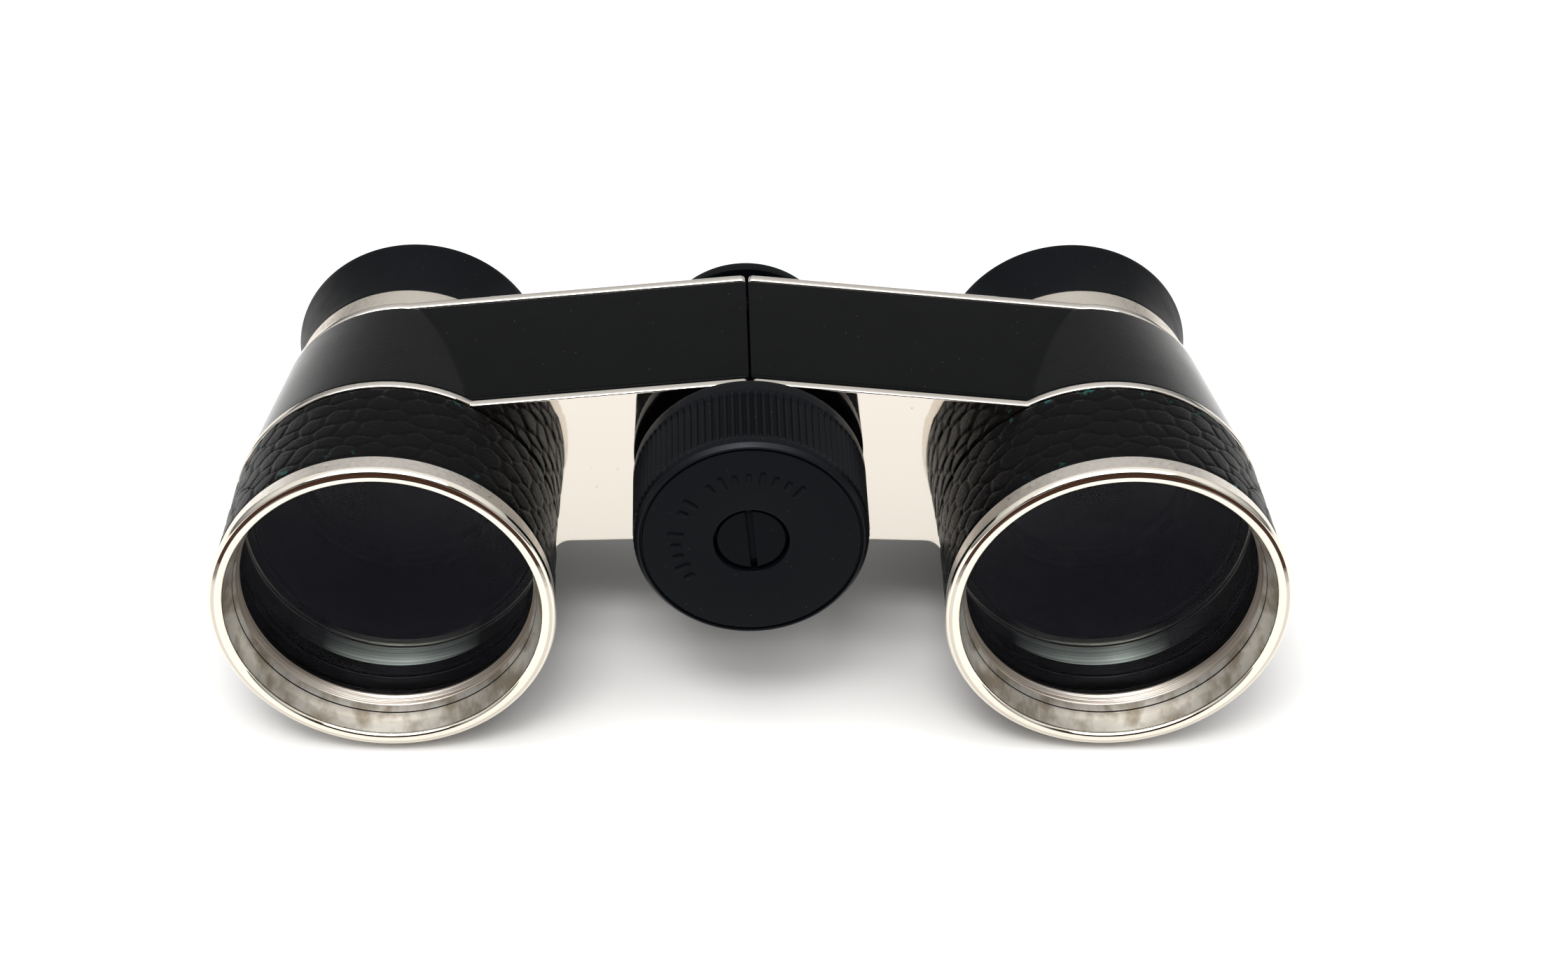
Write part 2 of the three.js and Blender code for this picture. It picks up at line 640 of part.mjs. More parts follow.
placePair('objective_bezel', objectiveBezel(), nickel);
placePair('objective_crown_lens', crownLens(), glass);
placePair('objective_flint_lens', flintLens(), glass);
placePair('objective_retaining_ring', objectiveRetainingRing(), blackenedBrass);
placePair('objective_tube', objectiveTube(), blackenedBrass);
placePair('leather_wrap', leatherWrap(), leather);
placePair('front_plate', frontPlate(), nickel);
placePair('body_shell', bodyShell(), enamel);
placePair('back_plate', backPlate(), nickel);
placePair('eyepiece_guide', eyepieceGuide(), brass);
placePair('eyepiece_tube', eyepieceTube(), nickel);
placePair('eyepiece_lens', eyepieceLens(), glass);
placePair('eyepiece_lens_ring', eyepieceLensRing(), blackenedBrass);
placePair('eyecup', eyecup(), plastic);

place('hinge_block_left', hingeBlock(OUTER_KNUCKLES, HINGE_TUBE_RADIUS + FIT_GAP).mirror([1, 0, 0]), brass);
place('hinge_block_right', hingeBlock(MIDDLE_KNUCKLE, HINGE_TUBE_RADIUS + RUN_GAP), brass);
place('focus_arm_left', focusArm(LEFT_EYE_Y, SLEEVE_RADIUS + FIT_GAP).mirror([1, 0, 0]), nickel);
place('focus_arm_right', focusArm(RIGHT_EYE_Y, SLEEVE_RADIUS + RUN_GAP), nickel);
place('hinge_tube', hingeTube(), brass);
place('focus_spindle', focusSpindle(), steel);
place('hub_sleeve', hubSleeve(), brass);
place('hub_cap', hubCap(), plastic);
place('hub_screw', hubScrew(), blackenedSteel);
place('focus_knob', focusKnob(), plastic);
place('knob_screw', knobScrew(), blackenedSteel);
place('knob_washer', knobWasher(), steel);

// The glasses lie on the front plates and the cup rims, so their axes dip towards the eyecups.
const restingDip = Math.atan2(FRONT_ROUND_RADIUS - CUP_RIM_RADIUS, CUP_RIM_Y - FRONT_PLATE_END);
glasses.rotation.x = -restingDip;

const model = new THREE.Group();
model.add(glasses);
const box = new THREE.Box3().setFromObject(model, true);
glasses.position.set(0, -(box.min.y + box.max.y) / 2, -box.min.z);

export default model;
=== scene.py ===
"""Folding opera glasses lying on a pale table.

Every piece is drawn in millimetres in the glasses' own frame: X to the right, Y along the
optical axes from the objective lips (Y = 0) towards the eyecups, Z up from the barrel axes.
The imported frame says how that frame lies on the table. Pieces of the left half are mirrored.
"""

import json
import math

import bmesh
import bpy
import numpy as np
from mathutils import Matrix, Vector
from mathutils.geometry import tessellate_polygon


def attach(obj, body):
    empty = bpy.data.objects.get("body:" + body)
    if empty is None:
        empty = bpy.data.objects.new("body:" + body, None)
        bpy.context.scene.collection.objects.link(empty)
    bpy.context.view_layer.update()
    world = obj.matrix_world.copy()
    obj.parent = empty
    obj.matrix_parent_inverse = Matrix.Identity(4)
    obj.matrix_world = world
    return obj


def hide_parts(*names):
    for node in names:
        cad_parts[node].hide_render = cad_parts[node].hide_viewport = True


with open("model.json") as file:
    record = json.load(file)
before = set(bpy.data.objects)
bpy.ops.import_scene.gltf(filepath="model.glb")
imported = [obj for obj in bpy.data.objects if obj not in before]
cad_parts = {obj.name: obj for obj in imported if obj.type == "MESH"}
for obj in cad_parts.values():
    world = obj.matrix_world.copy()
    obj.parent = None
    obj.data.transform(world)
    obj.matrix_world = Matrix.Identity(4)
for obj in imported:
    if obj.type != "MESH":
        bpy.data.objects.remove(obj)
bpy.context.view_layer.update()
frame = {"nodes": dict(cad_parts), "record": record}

# ---- sizes, in millimetres

MM = 0.001
BARREL_X = 34.0
HINGE_Z = 6.5
BARREL = (BARREL_X, 0.0)  # the axes along Y, as (x, z)
HINGE = (0.0, HINGE_Z)
SEAM_GAP = 0.11  # from the middle plane to either half
SEAM_ROUND = 0.12

LIP_RADIUS = 16.05
LIP_ROUND = 0.42
MOUTH_RADIUS = 14.66
BAND_RADIUS = 15.8
BAND_END_Y = 2.65
LENS_VIEW_RADIUS = 13.7
LENS_EDGE_Y = 5.05
LENS_RADIUS = 14.0
LENS_SPACE_RADIUS = 14.08
CROWN_BULGE = 2.0
INNER_BULGE = 1.6
CROWN_THICKNESS = 1.0  # at the rim
FLINT_FRONT_Y = LENS_EDGE_Y + 1.1
FLINT_BACK_Y = LENS_EDGE_Y + 4.0
TUBE_BORE = 14.2
TUBE_GROOVES_Y = 10.75
WRAP_FRONT_RADIUS = 15.9
WRAP_BACK_RADIUS = 15.6
FRONT_PLATE = (14.5, 15.4)
BACK_PLATE = (32.6, 33.6)
FRONT_ROUND = 15.6
BACK_ROUND = 13.1
BACK_LIFT = 0.4  # how much higher the deck is at the back plate
SHELL_WALL = 1.0
LIGHT_HOLE_RADIUS = 13.1
DECK_Z = 16.0
DECK_SLOPE = 0.0987
BRIDGE_Z = -1.9
BRIDGE_SLOPE = 0.03
RELIEF = math.radians(26)
NOTCH_RADIUS = 4.3

RING_OUTER = 12.35
RING_Y = (34.0, 37.4)
CUP_END_Y = 46.0
CUP_SEAT_Y = 41.3
CUP_FRONT_RADIUS = 12.2
CUP_RIM_RADIUS = 12.87
CUP_RIM_ROUND = 0.6
CUP_APERTURE = 6.8
GUIDE_RADIUS = 10.2
SLIDE_RADIUS = 9.5
LEFT_EYE_Y = (34.0, 35.2)
RIGHT_EYE_Y = (35.3, 36.5)
HUB_CAP_Y = (36.6, 38.0)
HUB_CAP_RADIUS = 8.75

KNOB_FACE_Y = 2.4
KNOB_SIDE_Y = 3.4
KNOB_END_Y = 12.7
KNOB_RADIUS = 11.0
KNOB_EDGE_RADIUS = 10.42
KNOB_GROOVE = (10.0, 10.25)
KNOB_GROOVE_DEPTH = 0.25
KNOB_RIBS = 96
RIB_DEPTH = 0.3
RIB_Y = (3.25, 10.9)
KNOB_SCREW_RADIUS = 3.15
KNOB_RECESS_RADIUS = 3.5
KNOB_RECESS_Y = 4.3
SCREW_HOLE_RADIUS = 1.9
HUB_SCREW_RADIUS = 3.0
KNUCKLE_RADIUS = 5.6
ARM_EYE_RADIUS = 5.6
HINGE_TUBE_RADIUS = 4.0
SLEEVE_RADIUS = 2.7
WEB_X = (8.5, 11.5)
WEB_Y = (15.5, 32.5)
LEFT_KNUCKLES_Y = [(16.0, 20.4), (27.6, 32.0)]
RIGHT_KNUCKLES_Y = [(20.6, 27.4)]

# Plain rings and tubes: inner radius, outer radius, and their span of Y.
RETAINING_RING = (13.5, 14.05, (9.15, 10.65))
HINGE_TUBE = (3.0, HINGE_TUBE_RADIUS, (13.2, 32.5))
HUB_SLEEVE = (2.1, SLEEVE_RADIUS, (19.0, HUB_CAP_Y[0]))
EYEPIECE_TUBE = (8.7, SLIDE_RADIUS, (22.0, 41.2))
EYEPIECE_LENS_RING = (7.4, 8.6, (35.8, 37.3))

# ---- the glasses' frame

record = frame["record"]
joints = {joint["name"]: joint for joint in record["behaviour"]["joints"]}
mounts = {mount["name"]: mount for mount in record["mounts"]}
fold_axis = Vector(joints["fold"]["axis"])
DIP = math.atan2(-fold_axis.z, fold_axis.y)
TURN = Matrix.Rotation(-DIP, 4, "X")
LIP_MOUNT = Vector((BARREL_X, 0, -15.15)) * MM  # the middle of the record's lip_right
LOCAL = Matrix.Translation(Vector(mounts["lip_right"]["pos_m"]) - TURN @ LIP_MOUNT) @ TURN

# ---- node material helpers


class Look:
    """One procedural material: short calls that add and join nodes."""

    def __init__(self, name):
        self.material = bpy.data.materials.new(name)
        self.material.use_nodes = True
        self.tree = self.material.node_tree
        self.shader = self.tree.nodes["Principled BSDF"]
        self.place = None

    def node(self, kind, **values):
        made = self.tree.nodes.new(kind)
        for key, value in values.items():
            setattr(made, key, value)
        return made

    def join(self, source, target):
        self.tree.links.new(source, target)

    def feed(self, socket, value):
        if isinstance(value, bpy.types.NodeSocket):
            self.join(value, socket)
        else:
            socket.default_value = value

    def math(self, operation, *values):
        made = self.node("ShaderNodeMath", operation=operation)
        for socket, value in zip(made.inputs, values):
            self.feed(socket, value)
        return made.outputs[0]

    def times(self, first, second):
        return self.math("MULTIPLY", first, second)

    def position(self):
        """The point on the piece, in millimetres of the glasses' frame."""
        if self.place is None:
            coordinates = self.node("ShaderNodeTexCoord")
            scaled = self.node("ShaderNodeVectorMath", operation="SCALE")
            self.join(coordinates.outputs["Object"], scaled.inputs[0])
            scaled.inputs["Scale"].default_value = 1 / MM
            self.place = scaled.outputs[0]
        return self.place

    def axes(self):
        """X, Y and Z of the point on the piece."""
        split = self.node("ShaderNodeSeparateXYZ")
        self.join(self.position(), split.inputs[0])
        return split.outputs[0], split.outputs[1], split.outputs[2]

    def around(self):
        """Radius, Y and turn of the point about the axis of its own barrel, left or right."""
        x, y, z = self.axes()
        x = self.math("SUBTRACT", self.math("ABSOLUTE", x), BARREL_X)
        square = self.math("ADD", self.times(x, x), self.times(z, z))
        return self.math("SQRT", square), y, self.math("ARCTAN2", z, x)

    def vector(self, x, y, z):
        made = self.node("ShaderNodeCombineXYZ")
        for socket, value in zip(made.inputs, (x, y, z)):
            self.feed(socket, value)
        return made.outputs[0]

    def noise(self, scale, detail=3.0, vector=None, roughness=0.55):
        made = self.node("ShaderNodeTexNoise")
        self.join(vector or self.position(), made.inputs["Vector"])
        made.inputs["Scale"].default_value = scale
        made.inputs["Detail"].default_value = detail
        made.inputs["Roughness"].default_value = roughness
        return made.outputs["Fac"]

    def streaks(self, detail, x, y, z):
        """Noise read at three coordinates of its own, so that it draws out into lines."""
        return self.noise(1.0, detail, self.vector(x, y, z))

    def cells(self, scale):
        """Distance to the nearest of many scattered points."""
        made = self.node("ShaderNodeTexVoronoi")
        self.join(self.position(), made.inputs["Vector"])
        made.inputs["Scale"].default_value = scale
        return made.outputs["Distance"]

    def specks(self, scale, core, edge, strength):
        """Scattered dots, at full strength within their core and gone at their edge."""
        return self.range(self.cells(scale), core, edge, strength, 0.0)

    def range(self, value, low, high, to_low=0.0, to_high=1.0):
        made = self.node("ShaderNodeMapRange")
        self.feed(made.inputs["Value"], value)
        for name, number in (
            ("From Min", low), ("From Max", high), ("To Min", to_low), ("To Max", to_high),
        ):
            made.inputs[name].default_value = number
        return made.outputs["Result"]

    def spread(self, noise, low=0.0, high=1.0):
        """The values that a noise mostly has, stretched to run from low to high."""
        return self.range(noise, 0.3, 0.7, low, high)

    def blend(self, share, first, second):
        made = self.node("ShaderNodeMix", data_type="RGBA")
        self.feed(made.inputs["Factor"], share)
        self.feed(made.inputs["A"], first)
        self.feed(made.inputs["B"], second)
        return made.outputs["Result"]

    def bump(self, height, depth, strength=1.0, normal=None):
        """Relief from a 0 to 1 height, with its full depth in millimetres."""
        made = self.node("ShaderNodeBump")
        made.inputs["Distance"].default_value = depth * MM
        made.inputs["Strength"].default_value = strength
        self.feed(made.inputs["Height"], height)
        if normal is not None:
            self.join(normal, made.inputs["Normal"])
        return made.outputs["Normal"]

    def set(self, **values):
        """Feeds sockets of the shader, named with _ for each space, and gives the material."""
        for key, value in values.items():
            self.feed(self.shader.inputs[key.replace("_", " ")], value)
        return self.material


def rgb(red, green, blue):
    return (red, green, blue, 1.0)


# ---- materials

STAIN = rgb(0.36, 0.29, 0.22)


def nickel(name, rough, line_depth, line_pitch, stain, colour):
    """Nickel plate with turning lines about the barrel, faint stains and pin-prick pits."""
    look = Look(name)
    radius, y, turn = look.around()
    lines = look.streaks(
        2.0,
        look.math("DIVIDE", y, line_pitch),
        look.math("DIVIDE", radius, line_pitch),
        look.times(turn, 1.3),
    )
    clouds = look.noise(0.35, 5.0)
    fine = look.noise(2.4, 4.0)
    tarnish = look.range(look.times(clouds, fine), 0.24, 0.42, 0.0, stain)
    pits = look.specks(1.1, 0.035, 0.07, 0.5)
    dirt = look.math("MINIMUM", look.math("ADD", tarnish, pits), 1.0)
    return look.set(
        Base_Color=look.blend(dirt, colour, STAIN),
        Metallic=1.0,
        Roughness=look.range(look.math("ADD", fine, dirt), 0.3, 1.2, rough * 0.75, rough * 1.8),
        Normal=look.bump(lines, line_depth),
    )


def mirror_nickel():
    """The bright flat plates: almost a mirror, slightly wavy and hazy, with dark specks."""
    look = Look("nickel_mirror")
    wave = look.noise(0.08, 1.0)
    haze = look.noise(0.5, 5.0)
    return look.set(
        Base_Color=look.blend(look.specks(0.45, 0.03, 0.07, 0.8), rgb(0.655, 0.61, 0.55), STAIN),
        Metallic=1.0,
        Roughness=look.range(haze, 0.3, 0.75, 0.02, 0.06),
        Normal=look.bump(wave, 0.04),
    )


def enamel():
    """Satin black enamel with a faint orange peel and dust, greyer at a grazing angle."""
    look = Look("black_enamel")
    peel = look.noise(3.0, 3.0)
    worn = look.noise(0.25, 5.0)
    dust = look.specks(0.8, 0.03, 0.05, 0.16)
    return look.set(
        Base_Color=look.blend(dust, rgb(0.0016, 0.0018, 0.0021), rgb(0.30, 0.31, 0.31)),
        Roughness=look.spread(worn, 0.30, 0.40),
        IOR=1.45,
        Specular_IOR_Level=0.038,
        Sheen_Weight=0.80,
        Sheen_Roughness=0.25,
        Normal=look.bump(peel, 0.012),
    )


def moulded_black(name, rough, grain_depth, shine=0.062):
    """Moulded black plastic with a fine matt grain and a little dust."""
    look = Look(name)
    grain = look.noise(7.0, 4.0)
    handled = look.noise(0.3, 4.0)
    dust = look.specks(1.0, 0.03, 0.06, 0.14)
    return look.set(
        Base_Color=look.blend(dust, rgb(0.0018, 0.0022, 0.0030), rgb(0.3, 0.31, 0.32)),
        Roughness=look.spread(handled, rough * 0.9, rough * 1.15),
        IOR=1.45,
        Specular_IOR_Level=shine,
        Specular_Tint=rgb(0.86, 0.90, 1.0),
        Normal=look.bump(grain, grain_depth),
    )


def leather():
    """Black leather: pores and creases, with a breath of green where it meets the brass."""
    look = Look("black_leather")
    pores = look.noise(3.6, 6.0, roughness=0.7)
    creases = look.cells(2.2)
    _, y, _ = look.axes()
    from_front = look.math("SUBTRACT", y, BAND_END_Y)
    from_back = look.math("SUBTRACT", FRONT_PLATE[0], y)
    near_edge = look.range(look.math("MINIMUM", from_front, from_back), 0.1, 1.3, 1.0, 0.0)
    bloom = look.range(look.noise(0.55, 5.0), 0.625, 0.68, 0.0, 0.8)
    return look.set(
        Base_Color=look.blend(
            look.times(near_edge, bloom), rgb(0.0014, 0.0014, 0.0017), rgb(0.02, 0.14, 0.12)
        ),
        Roughness=look.range(pores, 0.3, 0.75, 0.22, 0.40),
        IOR=1.45,
        Specular_IOR_Level=0.058,
        Normal=look.bump(creases, 0.03, 0.5, look.bump(pores, 0.04)),
    )


def lens_glass(name):
    """Clear glass with a violet sheen, a trace of film and a few dust specks."""
    look = Look(name)
    film = look.noise(0.4, 5.0)
    dust = look.specks(0.55, 0.012, 0.03, 0.5)
    return look.set(
        Base_Color=look.blend(dust, rgb(0.93, 0.95, 0.94), rgb(0.5, 0.5, 0.52)),
        Roughness=look.range(film, 0.35, 0.75, 0.015, 0.06),
        IOR=1.14,
        Specular_Tint=rgb(0.20, 0.19, 0.33),
        Transmission_Weight=1.0,
    )


def plain_metal(name, colour, rough, stain=STAIN):
    """Bare metal with fine marks and cloudy stains."""
    look = Look(name)
    marks = look.noise(4.0, 4.0)
    cloud = look.noise(0.5, 3.0)
    return look.set(
        Base_Color=look.blend(look.range(cloud, 0.3, 0.8, 0.0, 0.45), colour, stain),
        Metallic=1.0,
        Roughness=look.spread(marks, rough * 0.8, rough * 1.3),
        Normal=look.bump(marks, 0.01),
    )


def matt_black():
    """The blacking of inner surfaces."""
    look = Look("inner_black")
    cloud = look.noise(1.5, 4.0)
    dark, light = rgb(0.003, 0.003, 0.004), rgb(0.006, 0.006, 0.008)
    return look.set(
        Base_Color=look.blend(look.spread(cloud), dark, light),
        Roughness=look.spread(cloud, 0.55, 0.75),
        IOR=1.3,
        Specular_IOR_Level=0.12,
        Normal=look.bump(look.noise(6.0), 0.02),
    )


def threaded_wall():
    """The inside of the barrel behind the lens: grey rings low down painted bright as a reflection
    of light through the lens, and darker with depth as painted shade.
    """
    look = Look("threads_painted_glints")
    _, _, z = look.axes()
    radius, y, _ = look.around()
    # Painted light: the rings are lit low down and near the lens, and shaded higher up and deeper
    # in.
    low = look.range(z, -14.0, -12.0, 1.0, 0.0)
    shallow = look.range(y, 10.8, 14.3, 1.0, 0.3)
    lines = look.spread(look.streaks(2.0, look.times(y, 3.6), radius, 0.0), 0.25, 1.0)
    bright = look.times(look.times(low, shallow), lines)
    marks = look.noise(1.2, 4.0)
    return look.set(
        Base_Color=look.blend(bright, rgb(0.012, 0.013, 0.013), rgb(0.92, 0.96, 0.94)),
        Metallic=0.4,
        Roughness=look.spread(marks, 0.28, 0.42),
        Normal=look.bump(marks, 0.01),
    )


def groove_painted_dark():
    """The fine groove behind the lip: dark brown on its upper part as painted shade and dark
    reflection, bare nickel below.
    """
    look = Look("groove_painted_dark_line")
    _, _, z = look.axes()
    # Painted shade and dark reflection along the top of the groove, with a ragged edge.
    ragged = look.math("ADD", z, look.times(look.noise(0.8, 4.0), 3.0))
    painted_dark_top, bare = look.range(ragged, 4.5, 7.0), look.range(ragged, 4.5, 7.0, 1.0, 0.0)
    return look.set(
        Base_Color=look.blend(painted_dark_top, rgb(0.60, 0.55, 0.48), rgb(0.040, 0.014, 0.006)),
        Metallic=bare,
        Roughness=0.35,
        Specular_IOR_Level=0.15,
    )


def smudged_bore():
    """Turned nickel with brown smudges, and bright streaks along the axis that are painted
    highlights.
    """
    look = Look("nickel_bore")
    radius, y, turn = look.around()
    along = look.streaks(3.0, look.times(turn, 5.0), look.times(y, 0.25), 0.0)
    thin = look.streaks(2.0, look.times(turn, 26.0), look.times(y, 0.2), 3.0)
    lines = look.streaks(2.0, look.math("DIVIDE", y, 0.12), radius, look.times(turn, 1.3))
    smudge = look.range(along, 0.40, 0.58)
    base = look.blend(smudge, rgb(0.50, 0.43, 0.34), rgb(1.0, 0.95, 0.87))
    # Painted highlights: thin bright streaks along the axis.
    painted_highlight_streak = look.range(thin, 0.68, 0.76, 0.0, 0.7)
    return look.set(
        Base_Color=look.blend(painted_highlight_streak, base, rgb(0.92, 0.88, 0.82)),
        Metallic=0.85,
        Roughness=look.spread(along, 0.38, 0.28),
        Normal=look.bump(lines, 0.008),
    )


def turned_seat():
    """Rings left by the tool just in front of the lens, painted bright at the bottom as reflected
    light, and browner up the sides as painted shade.
    """
    look = Look("nickel_seat")
    _, _, z = look.axes()
    _, y, turn = look.around()
    # Painted shade: the bright rings give way to brown from the bottom up the sides.
    side = look.range(z, -13.2, -9.0, 0.0, 0.6)
    fine = look.streaks(2.0, look.math("DIVIDE", y, 0.16), 0.0, look.times(turn, 0.8))
    rings = look.blend(look.range(fine, 0.38, 0.60), rgb(0.30, 0.245, 0.20), rgb(0.96, 0.90, 0.83))
    return look.set(
        Base_Color=look.blend(side, rings, rgb(0.34, 0.28, 0.22)),
        Metallic=0.85,
        Roughness=0.3,
        Normal=look.bump(fine, 0.016),
    )


LIP = nickel("nickel_lip", rough=0.08, line_depth=0.001, line_pitch=0.2, stain=0.10,
             colour=rgb(0.82, 0.77, 0.67))
GROOVE = groove_painted_dark()
BAND = nickel("nickel_band", rough=0.34, line_depth=0.002, line_pitch=0.1, stain=0.10,
              colour=rgb(0.80, 0.745, 0.675))
ARM = nickel("nickel_arm", rough=0.32, line_depth=0.002, line_pitch=0.1, stain=0.2,
             colour=rgb(0.68, 0.62, 0.54))
BORE = smudged_bore()
SEAT = turned_seat()
TUBE = threaded_wall()
MIRROR = mirror_nickel()
ENAMEL = enamel()
CUP = moulded_black("black_cup", 0.42, 0.012)
KNOB = moulded_black("black_knob", 0.36, 0.010, 0.085)
KNOB_EDGE = moulded_black("worn_knob_edge", 0.34, 0.006, 0.18)
SCREW = moulded_black("blackened_screw", 0.36, 0.01)
LEATHER = leather()
CROWN = lens_glass("coated_glass")
REAR_GLASS = lens_glass("rear_glass")
# Brass painted dark as shade: near black for the hinge and the rims of the arms' eyes where they
# show in the seam, and dulled for the hub sleeve.
BRASS = plain_metal("darkened_brass", rgb(0.16, 0.11, 0.055), 0.45)
BRASS_PAINTED_DARK = plain_metal("blackened_brass", rgb(0.014, 0.011, 0.007), 0.6, rgb(0.02, 0.016, 0.01))
STEEL = plain_metal("turned_steel", rgb(0.52, 0.52, 0.52), 0.3)
INNER_BLACK = matt_black()

# ---- mesh helpers


def arc(centre, radius, start, end, steps):
    """Points from one angle to another, both included."""
    angles = np.linspace(start, end, steps + 1)
    return [(centre[0] + radius * math.cos(a), centre[1] + radius * math.sin(a)) for a in angles]


def circle(centre, radius, steps):
    return arc(centre, radius, 0, 2 * math.pi, steps)[:-1]


def rounded(points, radii, steps=5):
    """A closed outline whose corners are replaced by arcs; radii is one number or one each."""
    count = len(points)
    if not isinstance(radii, (list, tuple)):
        radii = [radii] * count
    out = []
    for i, radius in enumerate(radii):
        corner = Vector(points[i])
        to_last = Vector(points[i - 1]) - corner
        to_next = Vector(points[(i + 1) % count]) - corner
        if radius <= 0:
            out.append(tuple(corner))
            continue
        half = to_last.angle(to_next) / 2
        reach = min(radius / math.tan(half), 0.49 * to_last.length, 0.49 * to_next.length)
        radius = reach * math.tan(half)
        to_last.normalize()
        to_next.normalize()
        middle = corner + (to_last + to_next).normalized() * radius / math.sin(half)
        start = corner + to_last * reach - middle
        end = corner + to_next * reach - middle
        first = math.atan2(start.y, start.x)
        sweep = math.remainder(math.atan2(end.y, end.x) - first, 2 * math.pi)
        out += arc(middle, radius, first, first + sweep, steps)
    return out


def inset(loop, distance):
    """A closed loop moved inwards (for a loop that runs anticlockwise) by a small distance."""
    points = np.array(loop, float)
    ahead = np.roll(points, -1, 0) - points
    ahead /= np.linalg.norm(ahead, axis=1)[:, None] + 1e-12
    normal = np.stack([-ahead[:, 1], ahead[:, 0]], 1)
    mitre = normal + np.roll(normal, 1, 0)
    mitre /= np.maximum((mitre * mitre).sum(1) / 2, 0.4)[:, None]
    return [tuple(point) for point in points + mitre * distance]


def anticlockwise(loop):
    points = np.array(loop, float)
    ahead = np.roll(points, -1, 0)
    double_area = (points[:, 0] * ahead[:, 1] - ahead[:, 0] * points[:, 1]).sum()
    return list(loop) if double_area > 0 else list(reversed(loop))


class Form:
    """Vertices in millimetres, faces, and the material number of each face."""

    def __init__(self):
        self.points = []
        self.faces = []
        self.looks = []

    def add(self, points, faces, look=0):
        base = len(self.points)
        self.points += [tuple(point) for point in points]
        self.faces += [tuple(base + i for i in face) for face in faces]
        self.looks += [look] * len(faces) if isinstance(look, int) else list(look)
        return self

    def join(self, other):
        return self.add(other.points, other.faces, other.looks)


def turned(profile, centre, steps, looks=None):
    """A form turned about an axis along Y, from (radius, y) points with any look per stretch.

    A profile that never reaches the axis is closed from its last point to its first.
    """
    axis = 1e-6
    points, faces, marks, rows = [], [], [], []
    for radius, y in profile:
        if radius < axis:
            rows.append([len(points)])
            points.append((centre[0], y, centre[1]))
            continue
        rows.append(list(range(len(points), len(points) + steps)))
        for i in range(steps):
            angle = 2 * math.pi * i / steps
            points.append(
                (centre[0] + radius * math.cos(angle), y, centre[1] + radius * math.sin(angle))
            )
    closed = min(radius for radius, _ in profile) > axis
    for k in range(len(rows) if closed else len(rows) - 1):
        first, second = rows[k], rows[(k + 1) % len(rows)]
        for i in range(steps):
            j = (i + 1) % steps
            if len(first) == 1:
                face = (first[0], second[i], second[j])
            elif len(second) == 1:
                face = (first[i], second[0], first[j])
            else:
                face = (first[i], second[i], second[j], first[j])
            faces.append(face)
            marks.append(looks[k] if looks else 0)
    return Form().add(points, faces, marks)


def slab(outline, y_span, holes, bevel, bevel_steps=3, face_looks=(0, 0)):
    """A flat plate across Y with rounded edges; outline and holes are (x, z) loops.

    face_looks are for the two flat sides; a hole's wall takes the higher of them.
    """
    loops = [anticlockwise(outline)] + [anticlockwise(hole) for hole in holes]
    start, end = y_span
    rim = []
    for k in range(bevel_steps + 1):
        angle = (math.pi / 2) * k / bevel_steps
        rim.append((start + bevel * (1 - math.sin(angle)), bevel * (1 - math.cos(angle))))
    rim = sorted(rim[::-1] + [(end - (y - start), depth) for y, depth in rim])
    form = Form()
    caps = []
    for number, loop in enumerate(loops):
        side = -1 if number else 1
        count = len(loop)
        points, faces = [], []
        for y, depth in rim:
            points += [(x, y, z) for x, z in inset(loop, side * depth)]
        for a in range(0, (len(rim) - 1) * count, count):
            b = a + count
            for i in range(count):
                j = (i + 1) % count
                face = (a + i, b + i, b + j, a + j)
                faces.append(face if side > 0 else face[::-1])
        base = len(form.points)
        form.add(points, faces, max(face_looks) if number else 0)
        caps.append((base, base + (len(rim) - 1) * count, inset(loop, side * rim[0][1])))
    near = [first + i for first, _, loop in caps for i in range(len(loop))]
    far = [last + i for _, last, loop in caps for i in range(len(loop))]
    flat = [[Vector((x, z, 0)) for x, z in loop] for _, _, loop in caps]
    for triangle in tessellate_polygon(flat):
        form.faces.append(tuple(near[i] for i in triangle))
        form.faces.append(tuple(far[i] for i in reversed(triangle)))
        form.looks += face_looks
    return form


def placed(name, data):
    """A new object in the scene."""
    thing = bpy.data.objects.new(name, data)
    bpy.context.scene.collection.objects.link(thing)
    return thing


def piece(name, form, looks, body, nodes, slot, mirrored=False, smooth=35, weighted=True):
    """A Blender object made from a form, laid as the glasses lie and hung on its body."""
    mesh = bpy.data.meshes.new(name)
    sign = -1 if mirrored else 1
    mesh.from_pydata([(sign * x * MM, y * MM, z * MM) for x, y, z in form.points], [], form.faces)
    for look in looks:
        mesh.materials.append(look)
    mesh.polygons.foreach_set("material_index", form.looks)
    work = bmesh.new()
    work.from_mesh(mesh)
    bmesh.ops.remove_doubles(work, verts=work.verts, dist=1e-7)
    bmesh.ops.recalc_face_normals(work, faces=work.faces)
    work.to_mesh(mesh)
    work.free()
    mesh.shade_smooth()
    mesh.set_sharp_from_angle(angle=math.radians(smooth))
    thing = placed(name, mesh)
    thing.matrix_world = LOCAL
    if weighted:
        thing.modifiers.new("weighted", "WEIGHTED_NORMAL").keep_sharp = True
    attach(thing, body)
    if nodes:
        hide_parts(*nodes)


def pair(name, form, looks, body, slot, **options):
    """The same piece on both sides, in place of the CAD node of its name and side."""
    for side, mirrored in (("right", False), ("left", True)):
        piece(
            f"{name}_{side}_fine", form, looks, f"{side}_{body}", [f"{name}_{side}"], slot,
            mirrored, **options,
        )


# ---- outline of one half


def first_meeting(height, slope, radius):
    """X where the line z = height - slope * x first meets a circle about the barrel axis."""
    a = 1 + slope * slope
    b = -2 * (BARREL_X + slope * height)
    c = BARREL_X ** 2 + height ** 2 - radius ** 2
    return (-b - math.sqrt(b * b - 4 * a * c)) / (2 * a)


